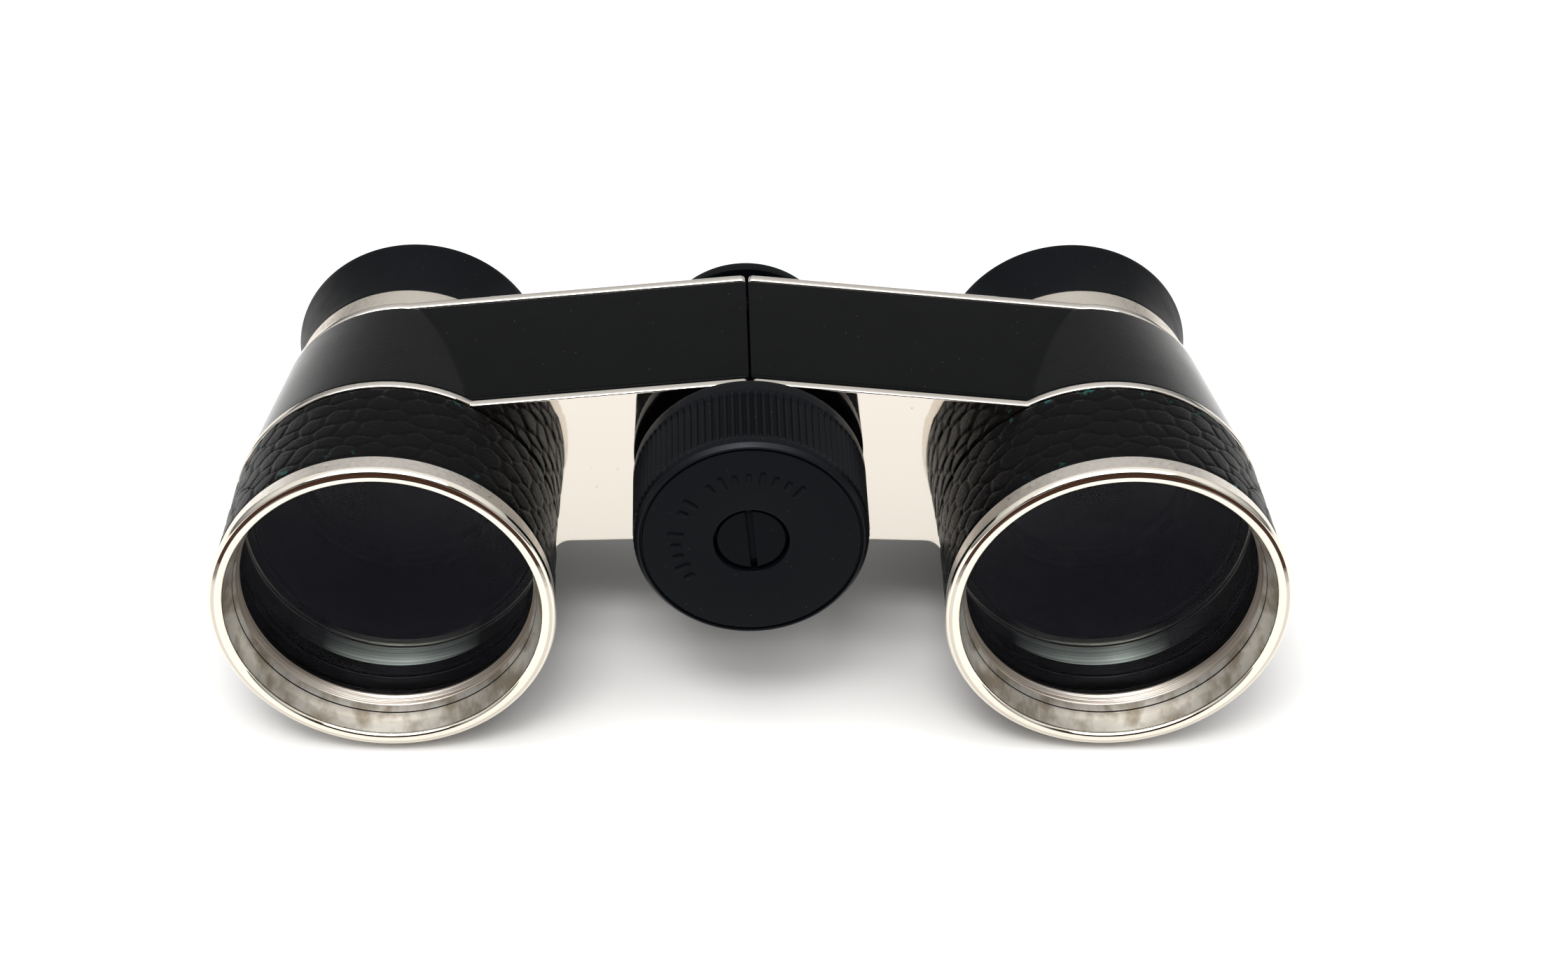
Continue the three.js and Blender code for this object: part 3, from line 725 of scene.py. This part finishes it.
def corner_fillet(height, slope, radius, fillet, above):
    """Centre and the two touching angles of a fillet between an arm line and the barrel round."""
    side = 1 if above else -1
    lifted = height + side * fillet * math.hypot(1, slope)
    x = first_meeting(lifted, slope, radius + fillet)
    z = lifted - slope * x
    to_barrel = math.atan2(-z, BARREL_X - x)
    to_line = -side * math.pi / 2 - math.atan(slope)
    return (x, z), to_line, to_barrel


def half_line(radius, inward=0.0, lift=0.0, kink=1.2, seam_round=SEAM_ROUND):
    """The outside of one half as an open line, from the seam over the barrel to the relief.

    inward moves it into the wall, lift raises the deck, and kink rounds deck into barrel.
    """
    corner = 1.8
    radius -= inward
    deck = DECK_Z + lift - inward * math.hypot(1, DECK_SLOPE)
    bridge = BRIDGE_Z + inward * math.hypot(1, BRIDGE_SLOPE)
    kink += inward
    corner += inward
    top, top_line, top_barrel = corner_fillet(deck, DECK_SLOPE, radius, kink, True)
    low, low_line, low_barrel = corner_fillet(bridge, BRIDGE_SLOPE, radius, corner, False)
    tip = max(seam_round - inward, 0.02)
    tip_x = SEAM_GAP + min(inward, seam_round) + tip
    points = arc((tip_x, deck - DECK_SLOPE * tip_x - tip), tip, math.pi, math.pi / 2, 4)
    points += arc(top, kink, top_line, top_barrel, 6)
    points += arc(BARREL, radius, top_barrel + math.pi, low_barrel - math.pi, 72)
    points += arc(low, corner, low_barrel, low_line, 8)
    length = (HINGE_Z - bridge) / (math.cos(RELIEF) - BRIDGE_SLOPE * math.sin(RELIEF))
    points.append((length * math.sin(RELIEF), HINGE_Z - length * math.cos(RELIEF)))
    return points


def plate_outline(radius, lift=0.0):
    """A cover plate's outline, with a notch for the hinge."""
    points = half_line(radius, lift=lift, kink=0.5, seam_round=0.5)
    seam_angle = math.acos(SEAM_GAP / NOTCH_RADIUS)
    return points + arc(HINGE, NOTCH_RADIUS, RELIEF - math.pi / 2, seam_angle, 24)


def share_at(y):
    """How far a distance lies from the front plate (0) to the back plate (1)."""
    return (y - FRONT_PLATE[0]) / (BACK_PLATE[1] - FRONT_PLATE[0])


def round_at(y):
    """Radius of the enamelled round, just inside the edges of the plates."""
    return FRONT_ROUND - 0.05 + (BACK_ROUND - FRONT_ROUND) * share_at(y)


def body_shell():
    """The enamelled wall: look 0 outside, look 1 inside, at both ends and at the seam."""
    start, end, edge, middle_steps = FRONT_PLATE[1] + 0.2, BACK_PLATE[0] - 0.08, 0.35, 8
    curl = [
        (start + edge * (1 - math.cos(angle)), edge * (1 - math.sin(angle)))
        for angle in np.linspace(0, math.pi / 2, 5)
    ]
    stations = curl + [
        (start + (end - start) * k / middle_steps, 0.0) for k in range(1, middle_steps)
    ]
    stations += [(end - (y - start), depth) for y, depth in reversed(curl)]
    points = []
    for depths in ([depth for _, depth in stations], [SHELL_WALL] * len(stations)):
        for (y, _), depth in zip(stations, depths):
            line = half_line(round_at(y), depth, BACK_LIFT * share_at(y))
            points += [(x, y, z) for x, z in line]
    rows = len(stations)
    count = len(points) // (2 * rows)
    through = rows * count  # from a point outside to the one inside
    seam_edge = SEAM_GAP + SEAM_ROUND + 0.005
    skin, lining = [], []
    for k in range(rows - 1):
        for i in range(count - 1):
            a, b = k * count + i, (k + 1) * count + i
            at_seam = max(points[a][0], points[a + 1][0]) < seam_edge
            (lining if at_seam else skin).append((a, a + 1, b + 1, b))
            a, b = a + through, b + through
            lining.append((a, b, b + 1, a + 1))
        for i in (0, count - 1):
            a, b = k * count + i, (k + 1) * count + i
            lining.append((a, b, b + through, a + through))
    for k in (0, rows - 1):
        for i in range(count - 1):
            a = k * count + i
            lining.append((a, a + 1, a + 1 + through, a + through))
    return Form().add(points, skin + lining, [0] * len(skin) + [1] * len(lining))


# ---- objective end


def wrap_at(y):
    """Outside radius of the leather, which tapers a little towards the front plate."""
    share = (y - BAND_END_Y) / (FRONT_PLATE[0] - BAND_END_Y)
    return WRAP_FRONT_RADIUS + (WRAP_BACK_RADIUS - WRAP_FRONT_RADIUS) * share


def objective_bezel():
    """Lens seat with turned rings, smooth bore, rounded lip, groove and plain band."""
    on_lip, on_band, in_bore, on_seat, hidden, in_groove = range(6)
    seat, seat_end, seat_flare = LENS_EDGE_Y - 0.12, 3.5, 0.16
    pitch, ring_depth = 0.2, 0.03
    rings = [(LENS_VIEW_RADIUS, seat)]
    y = seat - 0.08
    while y > seat_end:
        radius = LENS_VIEW_RADIUS + seat_flare * (seat - y)
        rings += [(radius, y), (radius + ring_depth, y - pitch * 0.35), (radius, y - pitch * 0.7)]
        y -= pitch
    lip = arc((MOUTH_RADIUS + LIP_ROUND, LIP_ROUND), LIP_ROUND, math.pi, 1.5 * math.pi, 8)
    lip += [(15.2, -0.01), (15.33, 0.01), (15.39, 0.05)]
    groove = [(15.42, 0.12), (15.5, 0.17), (15.6, 0.19), (15.68, 0.16)]
    shoulder = [(15.71, 0.12), (15.75, 0.13), (15.84, 0.2), (15.93, 0.31), (16.0, 0.45)]
    shoulder.append((LIP_RADIUS, 0.6))
    band = rounded(
        [(LIP_RADIUS, 0.61), (BAND_RADIUS, BAND_END_Y),
         (LENS_SPACE_RADIUS, BAND_END_Y), (LENS_SPACE_RADIUS, seat)],
        [0, 0.08, 0, 0.05], 3,
    )
    looks = [on_seat] * (len(rings) - 1) + [in_bore]
    looks += [on_lip] * (len(lip) - 1) + [in_groove] * (len(groove) + 1)
    looks += [on_lip] * len(shoulder) + [on_band] * 4 + [hidden] * (len(band) - 4)
    form = turned(rings + lip + groove + shoulder + band, BARREL, 192, looks)

    # The groove is open from the top of the lip down to full_z, and closed below shut_z.
    shut_z, full_z = 3.0, 7.0
    first, last = lip[-1], shoulder[0]
    for i, (x, y, z) in enumerate(form.points):
        radius = math.hypot(x - BARREL_X, z)
        if first[0] < radius < last[0] and y < 0.25:
            share = (radius - first[0]) / (last[0] - first[0])
            flat = first[1] + (last[1] - first[1]) * share
            open_share = min(max((z - shut_z) / (full_z - shut_z), 0), 1)
            form.points[i] = (x, flat + (y - flat) * open_share, z)
    return form


def threaded_tube():
    """The short tube under the leather, its bore cut with fine rings behind the lens."""
    start, end, wrap_depth = BAND_END_Y + 0.1, FRONT_PLATE[0] - 0.1, 0.35
    pitch, ring_depth = 0.32, 0.1
    inside = [(TUBE_BORE, start), (TUBE_BORE, TUBE_GROOVES_Y - 0.05)]
    y = TUBE_GROOVES_Y
    while y < end - pitch:
        inside += [(TUBE_BORE, y), (TUBE_BORE - ring_depth, y + pitch * 0.5)]
        y += pitch
    inside += [(TUBE_BORE, end)]
    outside = [(wrap_at(end) - wrap_depth, end), (wrap_at(start) - wrap_depth, start)]
    return turned(inside + outside, BARREL, 128)


def lens_face(radius, rim_y, sag, steps):
    """Rim to middle along a shallow bowl."""
    angles = np.linspace(0, math.pi / 2, steps)[:-1]
    face = [(radius * math.cos(a), rim_y + sag * math.sin(a) ** 2) for a in angles]
    return face + [(0.0, rim_y + sag)]


def crown_lens():
    """The front element: look 1 on its rim, which is blacked."""
    front = lens_face(LENS_RADIUS, LENS_EDGE_Y, -CROWN_BULGE, 20)
    back = lens_face(LENS_RADIUS, LENS_EDGE_Y + CROWN_THICKNESS, INNER_BULGE, 14)
    looks = [0] * (len(front) - 1) + [1] + [0] * len(back)
    return turned(front[::-1] + back, BARREL, 96, looks)


def flint_lens():
    """The rear element, hollow in front and flat behind: look 1 on its rim."""
    front = lens_face(LENS_RADIUS, FLINT_FRONT_Y, INNER_BULGE, 14)
    back = [(LENS_RADIUS, FLINT_BACK_Y), (0.0, FLINT_BACK_Y)]
    return turned(front[::-1] + back, BARREL, 96, [0] * (len(front) - 1) + [1, 0])


def ring_form(inner, outer, y_span, edge=0.1, centre=BARREL, steps=128):
    """A plain ring or tube about an axis along Y, with rounded edges."""
    start, end = y_span
    section = [(inner, start), (outer, start), (outer, end), (inner, end)]
    return turned(rounded(section, edge, 3), centre, steps)


def leather_wrap():
    """Embossed scales as real relief: jittered cells in rows, domed and tipped like scales."""
    start, end = BAND_END_Y + 0.08, FRONT_PLATE[0] - 0.06
    around, along = 600, 66  # points round the barrel and along it
    columns, pitch = 36, 2.0  # scales in a row, and the height of a row
    groove_width, groove_depth = 0.6, 0.09
    dome_radius, dome_height, tip, uneven = 1.4, 0.05, 0.05, 0.02
    edge_width, edge_drop, skin, backing = 0.35, 0.06, 0.22, 0.3
    girth = 2 * math.pi * WRAP_FRONT_RADIUS
    chance = np.random.default_rng(7)
    seeds = []
    for row in range(-1, int((end - start) / pitch) + 2):
        for column in range(columns):
            across = column + 0.5 * (row % 2) + chance.uniform(-0.27, 0.27)
            up = row + 0.5 + chance.uniform(-0.25, 0.25)
            place = (across * girth / columns % girth, start + up * pitch)
            seeds.append((*place, chance.uniform(-1, 1)))
    seeds = np.array(seeds)
    u, v = np.meshgrid(np.arange(around) * girth / around, np.linspace(start, end, along))
    sway = 0.25 * np.sin(u * 2 * math.pi * 9 / girth + v * 1.1)
    du = np.abs(u[..., None] - seeds[:, 0])
    du = np.minimum(du, girth - du)
    dv = (v + sway)[..., None] - seeds[:, 1]
    distance = np.sqrt((du * 0.80) ** 2 + (dv * 1.12) ** 2)
    order = np.argpartition(distance, 1, axis=-1)[..., :2]
    near = np.take_along_axis(distance, order, -1)
    first, second = near.min(-1), near.max(-1)
    owner = np.take_along_axis(order, near.argmin(-1)[..., None], -1)[..., 0]
    groove = np.clip((second - first) / groove_width, 0, 1)
    groove = groove * groove * (3 - 2 * groove)
    height = groove_depth * groove + dome_height * (1 - (first / dome_radius) ** 2)
    height += tip * (v + sway - seeds[owner, 1]) + uneven * seeds[owner, 2]
    inland = np.clip(np.minimum(v - start, end - v) / edge_width, 0, 1)
    radius = wrap_at(v) - skin + height * inland - edge_drop * (1 - inland)
    angle = u / WRAP_FRONT_RADIUS
    x = BARREL_X + radius * np.cos(angle)
    z = radius * np.sin(angle)
    rows = [list(zip(x[k], v[k], z[k])) for k in range(along)]
    for y in (end, start):
        inner = wrap_at(y) - backing
        rows.append([(BARREL_X + inner * math.cos(a), y, inner * math.sin(a)) for a in angle[0]])
    faces = []
    for k in range(len(rows)):
        a, b = k * around, ((k + 1) % len(rows)) * around
        for i in range(around):
            j = (i + 1) % around
            faces.append((a + i, a + j, b + j, b + i))
    return Form().add([point for row in rows for point in row], faces)


pair("objective_bezel", objective_bezel(), [LIP, BAND, BORE, SEAT, INNER_BLACK, GROOVE], "half",
     "nickel", smooth=28)
pair("objective_tube", threaded_tube(), [TUBE], "half", "blackened_brass", smooth=60)
pair("objective_crown_lens", crown_lens(), [CROWN, INNER_BLACK], "half", "glass", weighted=False)
pair("objective_flint_lens", flint_lens(), [REAR_GLASS, INNER_BLACK], "half", "glass",
     weighted=False)
pair("objective_retaining_ring", ring_form(*RETAINING_RING, 0.15), [INNER_BLACK], "half",
     "blackened_brass")
pair("leather_wrap", leather_wrap(), [LEATHER], "half", "leather", smooth=60, weighted=False)

# ---- body

LIGHT_HOLE = circle(BARREL, LIGHT_HOLE_RADIUS, 96)
GUIDE_HOLE = circle(BARREL, GUIDE_RADIUS + 0.1, 96)

pair("front_plate", slab(plate_outline(FRONT_ROUND), FRONT_PLATE, [LIGHT_HOLE], 0.2, 3, (0, 1)),
     [MIRROR, INNER_BLACK], "half", "nickel")
pair("body_shell", body_shell(), [ENAMEL, INNER_BLACK], "half", "enamel")
BACK_OUTLINE = plate_outline(BACK_ROUND, BACK_LIFT)
pair("back_plate", slab(BACK_OUTLINE, BACK_PLATE, [GUIDE_HOLE], 0.25, 3, (1, 0)),
     [MIRROR, INNER_BLACK], "half", "nickel")


def knuckle(y_span, bore):
    """One barrel of the hinge, with a lug that reaches to the web."""
    lug = KNUCKLE_RADIUS * 0.62
    lift = math.asin(lug / KNUCKLE_RADIUS)
    lug_end = WEB_X[0] + 0.5
    outline = arc(HINGE, KNUCKLE_RADIUS, lift, 2 * math.pi - lift, 40)
    outline += [(lug_end, HINGE_Z - lug), (lug_end, HINGE_Z + lug)]
    return slab(outline, y_span, [circle(HINGE, bore, 64)], 0.25)


def hinge_block(spans, bore):
    """An upright web between deck and bridge, and a knuckle at each span of Y."""
    clear = SHELL_WALL + 0.1
    near, far = WEB_X
    floor = BRIDGE_Z + clear
    web = [(near, floor), (far, floor),
           (far, DECK_Z - DECK_SLOPE * far - clear), (near, DECK_Z - DECK_SLOPE * near - clear)]
    block = slab(rounded(web, 0.4), WEB_Y, (), 0.2)
    for span in spans:
        block.join(knuckle(span, bore))
    return block


piece("hinge_block_left_fine", hinge_block(LEFT_KNUCKLES_Y, HINGE_TUBE_RADIUS + 0.1),
      [BRASS_PAINTED_DARK], "left_half", ["hinge_block_left"], "brass", mirrored=True)
piece("hinge_block_right_fine", hinge_block(RIGHT_KNUCKLES_Y, HINGE_TUBE_RADIUS + 0.2),
      [BRASS_PAINTED_DARK], "right_half", ["hinge_block_right"], "brass")
piece("hinge_tube_fine", ring_form(*HINGE_TUBE, 0.2, HINGE, 64),
      [BRASS_PAINTED_DARK], "left_half", ["hinge_tube"], "brass")

# ---- eyepieces


def eyecup():
    """A flared cup with a rounded rim and a dished face round a small opening."""
    start, bore = RING_Y[1] + 0.1, SLIDE_RADIUS + 0.1
    flare_start, flare_end, flare = start + 0.25, 45.35, CUP_RIM_RADIUS - CUP_FRONT_RADIUS
    dish_radius, dish_y, dish_width, dish_depth = CUP_RIM_RADIUS - 1.0, CUP_END_Y - 0.05, 5.07, 3.6
    outside = [(12.05, start), (12.22, flare_start)]
    outside += [
        (CUP_FRONT_RADIUS + flare * s ** 2, flare_start + (flare_end - flare_start) * s)
        for s in np.linspace(0.1, 1, 14)
    ]
    rim_middle = (CUP_RIM_RADIUS - CUP_RIM_ROUND, CUP_END_Y - CUP_RIM_ROUND)
    rim = arc(rim_middle, CUP_RIM_ROUND, 0, math.pi / 2, 7)[1:]
    dish = [
        (dish_radius - dish_width * s, dish_y - dish_depth * s ** 0.8)
        for s in np.linspace(0, 1, 14)
    ]
    dish[-1] = (CUP_APERTURE, dish[-1][1])
    inside = [(CUP_APERTURE, CUP_SEAT_Y), (bore, CUP_SEAT_Y), (bore, start)]
    return turned(outside + rim + dish + inside, BARREL, 160)


def eyepiece_lens():
    """The small lens at the eye, hollow on both sides."""
    radius, hollow = SLIDE_RADIUS - 0.9, 1.1
    front = lens_face(radius, 37.4, hollow, 10)
    back = lens_face(radius, 41.2, -hollow, 10)
    return turned(front[::-1] + back, BARREL, 96)


def focus_arm(eye_span, bore):
    """Ring round the eyepiece with a flat waisted bar and an eye on the hinge axis.

    Look 0 is the ring, 1 the bar and its eye, 2 the rim of the eye, which is painted dark as shade.
    """
    open_angle = math.radians(52)
    neck, waist, waist_at = 10.4, 3.6, 0.32
    hub, barrel = Vector(HINGE), Vector(BARREL)
    reach = (barrel - hub).length
    tilt = math.atan2(-HINGE_Z, BARREL_X)
    along = Vector((math.cos(tilt), math.sin(tilt)))
    across = Vector((-along.y, along.x))
    eye = arc(hub, ARM_EYE_RADIUS, tilt + open_angle, tilt + 2 * math.pi - open_angle, 40)
    lower, upper = [], []
    for s in np.linspace(0.14, (reach - neck) / reach, 12):
        half = waist + 9.0 * abs(s - waist_at) ** 1.6
        lower.append(tuple(hub + along * reach * s - across * half))
        upper.append(tuple(hub + along * reach * s + across * half))
    bar = slab(eye + lower + upper[::-1], eye_span, [circle(hub, bore, 48)], 0.2)
    for number, face in enumerate(bar.faces):
        corners = [bar.points[corner] for corner in face]
        flat = max(y for _, y, _ in corners) - min(y for _, y, _ in corners) < 0.01
        on_rim = all(
            abs(math.hypot(x, z - HINGE_Z) - ARM_EYE_RADIUS) < 0.25 for x, _, z in corners
        )
        bar.looks[number] = 2 if on_rim and not flat else 1
    return ring_form(SLIDE_RADIUS + 0.1, RING_OUTER, RING_Y, 0.3, BARREL, 160).join(bar)


pair("eyecup", eyecup(), [CUP], "carriage", "black_plastic")
pair("eyepiece_lens", eyepiece_lens(), [REAR_GLASS], "carriage", "glass", weighted=False)
pair("eyepiece_tube", ring_form(*EYEPIECE_TUBE), [INNER_BLACK], "carriage", "nickel")
pair("eyepiece_lens_ring", ring_form(*EYEPIECE_LENS_RING), [INNER_BLACK], "carriage",
     "blackened_brass")
piece("focus_arm_left_fine", focus_arm(LEFT_EYE_Y, SLEEVE_RADIUS + 0.1),
      [ARM, MIRROR, BRASS_PAINTED_DARK], "left_carriage", ["focus_arm_left"], "nickel", mirrored=True)
piece("focus_arm_right_fine", focus_arm(RIGHT_EYE_Y, SLEEVE_RADIUS + 0.2),
      [ARM, MIRROR, BRASS_PAINTED_DARK], "right_carriage", ["focus_arm_right"], "nickel")

# ---- knob, hub and screws


def knob():
    """Turned body whose side is cut by fine flutes between two smooth bands.

    Look 1 is the worn edge round the face, and look 0 the rest.
    """
    groove_in, groove_out = KNOB_GROOVE
    groove_y, edge_y = KNOB_FACE_Y + KNOB_GROOVE_DEPTH, KNOB_FACE_Y - 0.02
    edge_end = (10.78, KNOB_FACE_Y + 0.42)
    side_radius, side_end = KNOB_RADIUS - 0.1, 11.9
    face = rounded(
        [(KNOB_RECESS_RADIUS, KNOB_FACE_Y), (groove_in, KNOB_FACE_Y),
         (groove_in + 0.05, groove_y), (groove_out - 0.05, groove_y),
         (groove_out, edge_y), (KNOB_EDGE_RADIUS, edge_y), edge_end,
         (side_radius, KNOB_SIDE_Y), (KNOB_RADIUS, KNOB_END_Y), (KNOB_RECESS_RADIUS, KNOB_END_Y)],
        [0.12, 0.06, 0.04, 0.04, 0.04, 0.12, 0.2, 0.1, 0.3, 0], 5,
    )
    side = [
        (side_radius + (KNOB_RADIUS - side_radius) * s, KNOB_SIDE_Y + (side_end - KNOB_SIDE_Y) * s)
        for s in np.linspace(0, 1, 42)
    ]
    split = max(i for i, (_, y) in enumerate(face) if y < KNOB_SIDE_Y + 0.2) + 1
    profile = [(SCREW_HOLE_RADIUS, KNOB_RECESS_Y), (KNOB_RECESS_RADIUS, KNOB_RECESS_Y)]
    profile += face[:split] + side[1:] + face[split:-1] + [(SCREW_HOLE_RADIUS, KNOB_END_Y)]
    form = turned(profile, HINGE, KNOB_RIBS * 6)
    rib_start, rib_end = RIB_Y
    for i, (x, y, z) in enumerate(form.points):
        dx, dz = x - HINGE[0], z - HINGE[1]
        radius = math.hypot(dx, dz)
        if radius > KNOB_RADIUS - 0.5 and rib_start < y < rib_end:
            wave = 0.5 - 0.5 * math.cos(KNOB_RIBS * math.atan2(dz, dx))
            fade = min((y - rib_start) / 0.8, 1) * min((rib_end - y) / 0.12, 1)
            keep = 1 - RIB_DEPTH * fade * wave ** 0.6 / radius
            form.points[i] = (HINGE[0] + dx * keep, y, HINGE[1] + dz * keep)
    for number, corners in enumerate(form.faces):
        x, y, z = np.mean([form.points[corner] for corner in corners], axis=0)
        radius = math.hypot(x - HINGE[0], z - HINGE[1])
        on_edge = radius > KNOB_EDGE_RADIUS - 0.07 and y < KNOB_FACE_Y + 0.3
        form.looks[number] = 1 if on_edge else 0
    return form


def dial_marks():
    """Small raised ticks along part of the knob's face, every third one longer, with two gaps."""
    count, first_angle, step, gaps = 17, 52, 10.2, (8, 11)
    middle, half_width, half_long, half_short = 6.95, 0.238, 0.75, 0.5
    form = Form()
    for k in range(count):
        if k in gaps:
            continue
        angle = math.radians(first_angle + step * k)
        half_length = half_short if k % 3 else half_long
        out = Vector((math.cos(angle), math.sin(angle)))
        side = Vector((-out.y, out.x))
        centre = Vector(HINGE) + out * middle
        loop = [tuple(centre + out * a * half_length + side * b * half_width)
                for a, b in ((-1, -1), (1, -1), (1, 1), (-1, 1))]
        form.join(slab(rounded(loop, 0.12, 3), (KNOB_FACE_Y - 0.16, KNOB_FACE_Y + 0.2), (), 0.1, 2))
    return form


def slotted_head(radius, face_y, back_y, turn):
    """A screw head whose slot is cut across the face at Y = face_y."""
    half_slot, depth = 0.3, 0.55
    floor = face_y + math.copysign(depth, back_y - face_y)
    edge = math.asin(half_slot / radius)
    form = Form()
    for side in (0, math.pi):
        start = turn + side + edge
        lobe = arc(HINGE, radius, start, start + math.pi - 2 * edge, 36)
        form.join(slab(lobe, sorted((face_y, floor)), (), 0.06, 2))
    return form.join(slab(circle(HINGE, radius, 72), sorted((floor, back_y)), (), 0.04, 2))


HUB_CAP_SECTION = [
    (SCREW_HOLE_RADIUS, HUB_CAP_Y[0]), (HUB_CAP_RADIUS, HUB_CAP_Y[0]),
    (HUB_CAP_RADIUS, HUB_CAP_Y[1]), (SCREW_HOLE_RADIUS, HUB_CAP_Y[1]),
]
KNOB_SCREW_Y = (KNOB_FACE_Y + 0.3, KNOB_FACE_Y + 1.8)
HUB_SCREW_Y = (39.0, 38.1)

piece("focus_knob_fine", knob(), [KNOB, KNOB_EDGE], "focus_drive", ["focus_knob"], "black_plastic",
      smooth=50)
piece("knob_dial_marks", dial_marks(), [KNOB], "focus_drive", [], "black_plastic")
piece("knob_screw_fine", slotted_head(KNOB_SCREW_RADIUS, *KNOB_SCREW_Y, math.radians(96)),
      [SCREW], "focus_drive", ["knob_screw"], "blackened_steel")
piece("hub_cap_fine", turned(rounded(HUB_CAP_SECTION, [0, 0.15, 0.35, 0], 5), HINGE, 128),
      [CUP], "left_carriage", ["hub_cap"], "black_plastic")
piece("hub_screw_fine", slotted_head(HUB_SCREW_RADIUS, *HUB_SCREW_Y, 0.5),
      [SCREW], "left_carriage", ["hub_screw"], "blackened_steel")
piece("hub_sleeve_fine", ring_form(*HUB_SLEEVE, 0.1, HINGE, 48),
      [BRASS], "left_carriage", ["hub_sleeve"], "brass")

CAD_LOOKS = {
    "eyepiece_guide": INNER_BLACK,
    "focus_spindle": STEEL,
    "knob_washer": STEEL,
}
for name, node in frame["nodes"].items():
    for start, look in CAD_LOOKS.items():
        if name.startswith(start):
            node.data.materials.clear()
            node.data.materials.append(look)

# ---- stage, light and camera


def table():
    look = Look("table_white")
    cloud = look.noise(0.004, 2.0)
    look.set(
        Base_Color=look.blend(cloud, rgb(0.76, 0.755, 0.74), rgb(0.79, 0.785, 0.775)),
        Roughness=0.7,
    )
    half = 1.5
    corners = [(-half, -half, 0), (half, -half, 0), (half, half, 0), (-half, half, 0)]
    mesh = bpy.data.meshes.new("table")
    mesh.from_pydata(corners, [], [(0, 1, 2, 3)])
    mesh.materials.append(look.material)
    thing = placed("table", mesh)


def soft_light(name, place, size, power):
    """A rectangular lamp that faces the middle of the table."""
    lamp = bpy.data.lights.new(name, "AREA")
    lamp.shape = "RECTANGLE"
    lamp.size, lamp.size_y = size
    lamp.energy = power
    thing = placed(name, lamp)
    thing.location = place
    thing.rotation_euler = (-Vector(place)).to_track_quat("-Z", "Y").to_euler()


# The camera in the glasses' own frame, from a fit to the photograph. Widths are the picture's.
CAMERA_PLACE = (-5.86, -191.64, 149.50)
CAMERA_TURN = (0.9587, 0.0071, -0.0123)  # tilt up, roll, and turn about the glasses' Z
FOCAL_IN_WIDTHS = 3759.6 / 2239
SHIFT_IN_WIDTHS = 100 / 2239


def camera():
    data = bpy.data.cameras.new("camera")
    data.sensor_width = 36.0
    data.lens = FOCAL_IN_WIDTHS * data.sensor_width
    data.shift_x = SHIFT_IN_WIDTHS
    data.clip_start = 0.01
    thing = placed("camera", data)
    tilt, roll, turn = CAMERA_TURN
    facing = Matrix.Rotation(turn, 4, "Z") @ Matrix.Rotation(tilt, 4, "X")
    facing = facing @ Matrix.Rotation(roll, 4, "Z")
    thing.matrix_world = LOCAL @ Matrix.Translation(Vector(CAMERA_PLACE) * MM) @ facing
    bpy.context.scene.camera = thing
    return thing


def room(towards_camera):
    """Soft surroundings, bright overhead, with a dark patch where the photographer stands."""
    patch_edge, patch_core = math.radians(44), math.radians(33)
    world = bpy.data.worlds.new("room")
    bpy.context.scene.world = world
    world.use_nodes = True
    tree = world.node_tree
    background = tree.nodes["Background"]
    join = tree.links.new
    direction = tree.nodes.new("ShaderNodeTexCoord").outputs["Generated"]
    dot = tree.nodes.new("ShaderNodeVectorMath")
    dot.operation = "DOT_PRODUCT"
    dot.inputs[1].default_value = towards_camera
    join(direction, dot.inputs[0])
    patch = tree.nodes.new("ShaderNodeMapRange")
    patch.inputs["From Min"].default_value = math.cos(patch_edge)
    patch.inputs["From Max"].default_value = math.cos(patch_core)
    join(dot.outputs["Value"], patch.inputs["Value"])
    split = tree.nodes.new("ShaderNodeSeparateXYZ")
    join(direction, split.inputs[0])
    height = tree.nodes.new("ShaderNodeValToRGB")
    stops = height.color_ramp.elements
    stops[0].position, stops[0].color = 0.0, (0.16, 0.16, 0.16, 1)
    stops[1].position, stops[1].color = 0.6, (1.30, 1.30, 1.30, 1)
    join(split.outputs[2], height.inputs[0])
    mix = tree.nodes.new("ShaderNodeMix")
    mix.data_type = "RGBA"
    join(patch.outputs["Result"], mix.inputs["Factor"])
    join(height.outputs["Color"], mix.inputs["A"])
    mix.inputs["B"].default_value = (0.035, 0.022, 0.016, 1)
    join(mix.outputs["Result"], background.inputs["Color"])
    background.inputs["Strength"].default_value = 0.80


table()
eye = camera()
room(tuple((eye.matrix_world.translation - Vector((0, 0, 0.015))).normalized()))
soft_light("overhead", (-0.05, -0.30, 0.80), (1.1, 0.8), 9.0)
soft_light("key", (-0.10, -0.34, 0.75), (0.3, 0.2), 2.2)

view = bpy.context.scene.view_settings
view.view_transform = "Standard"
view.look = "None"
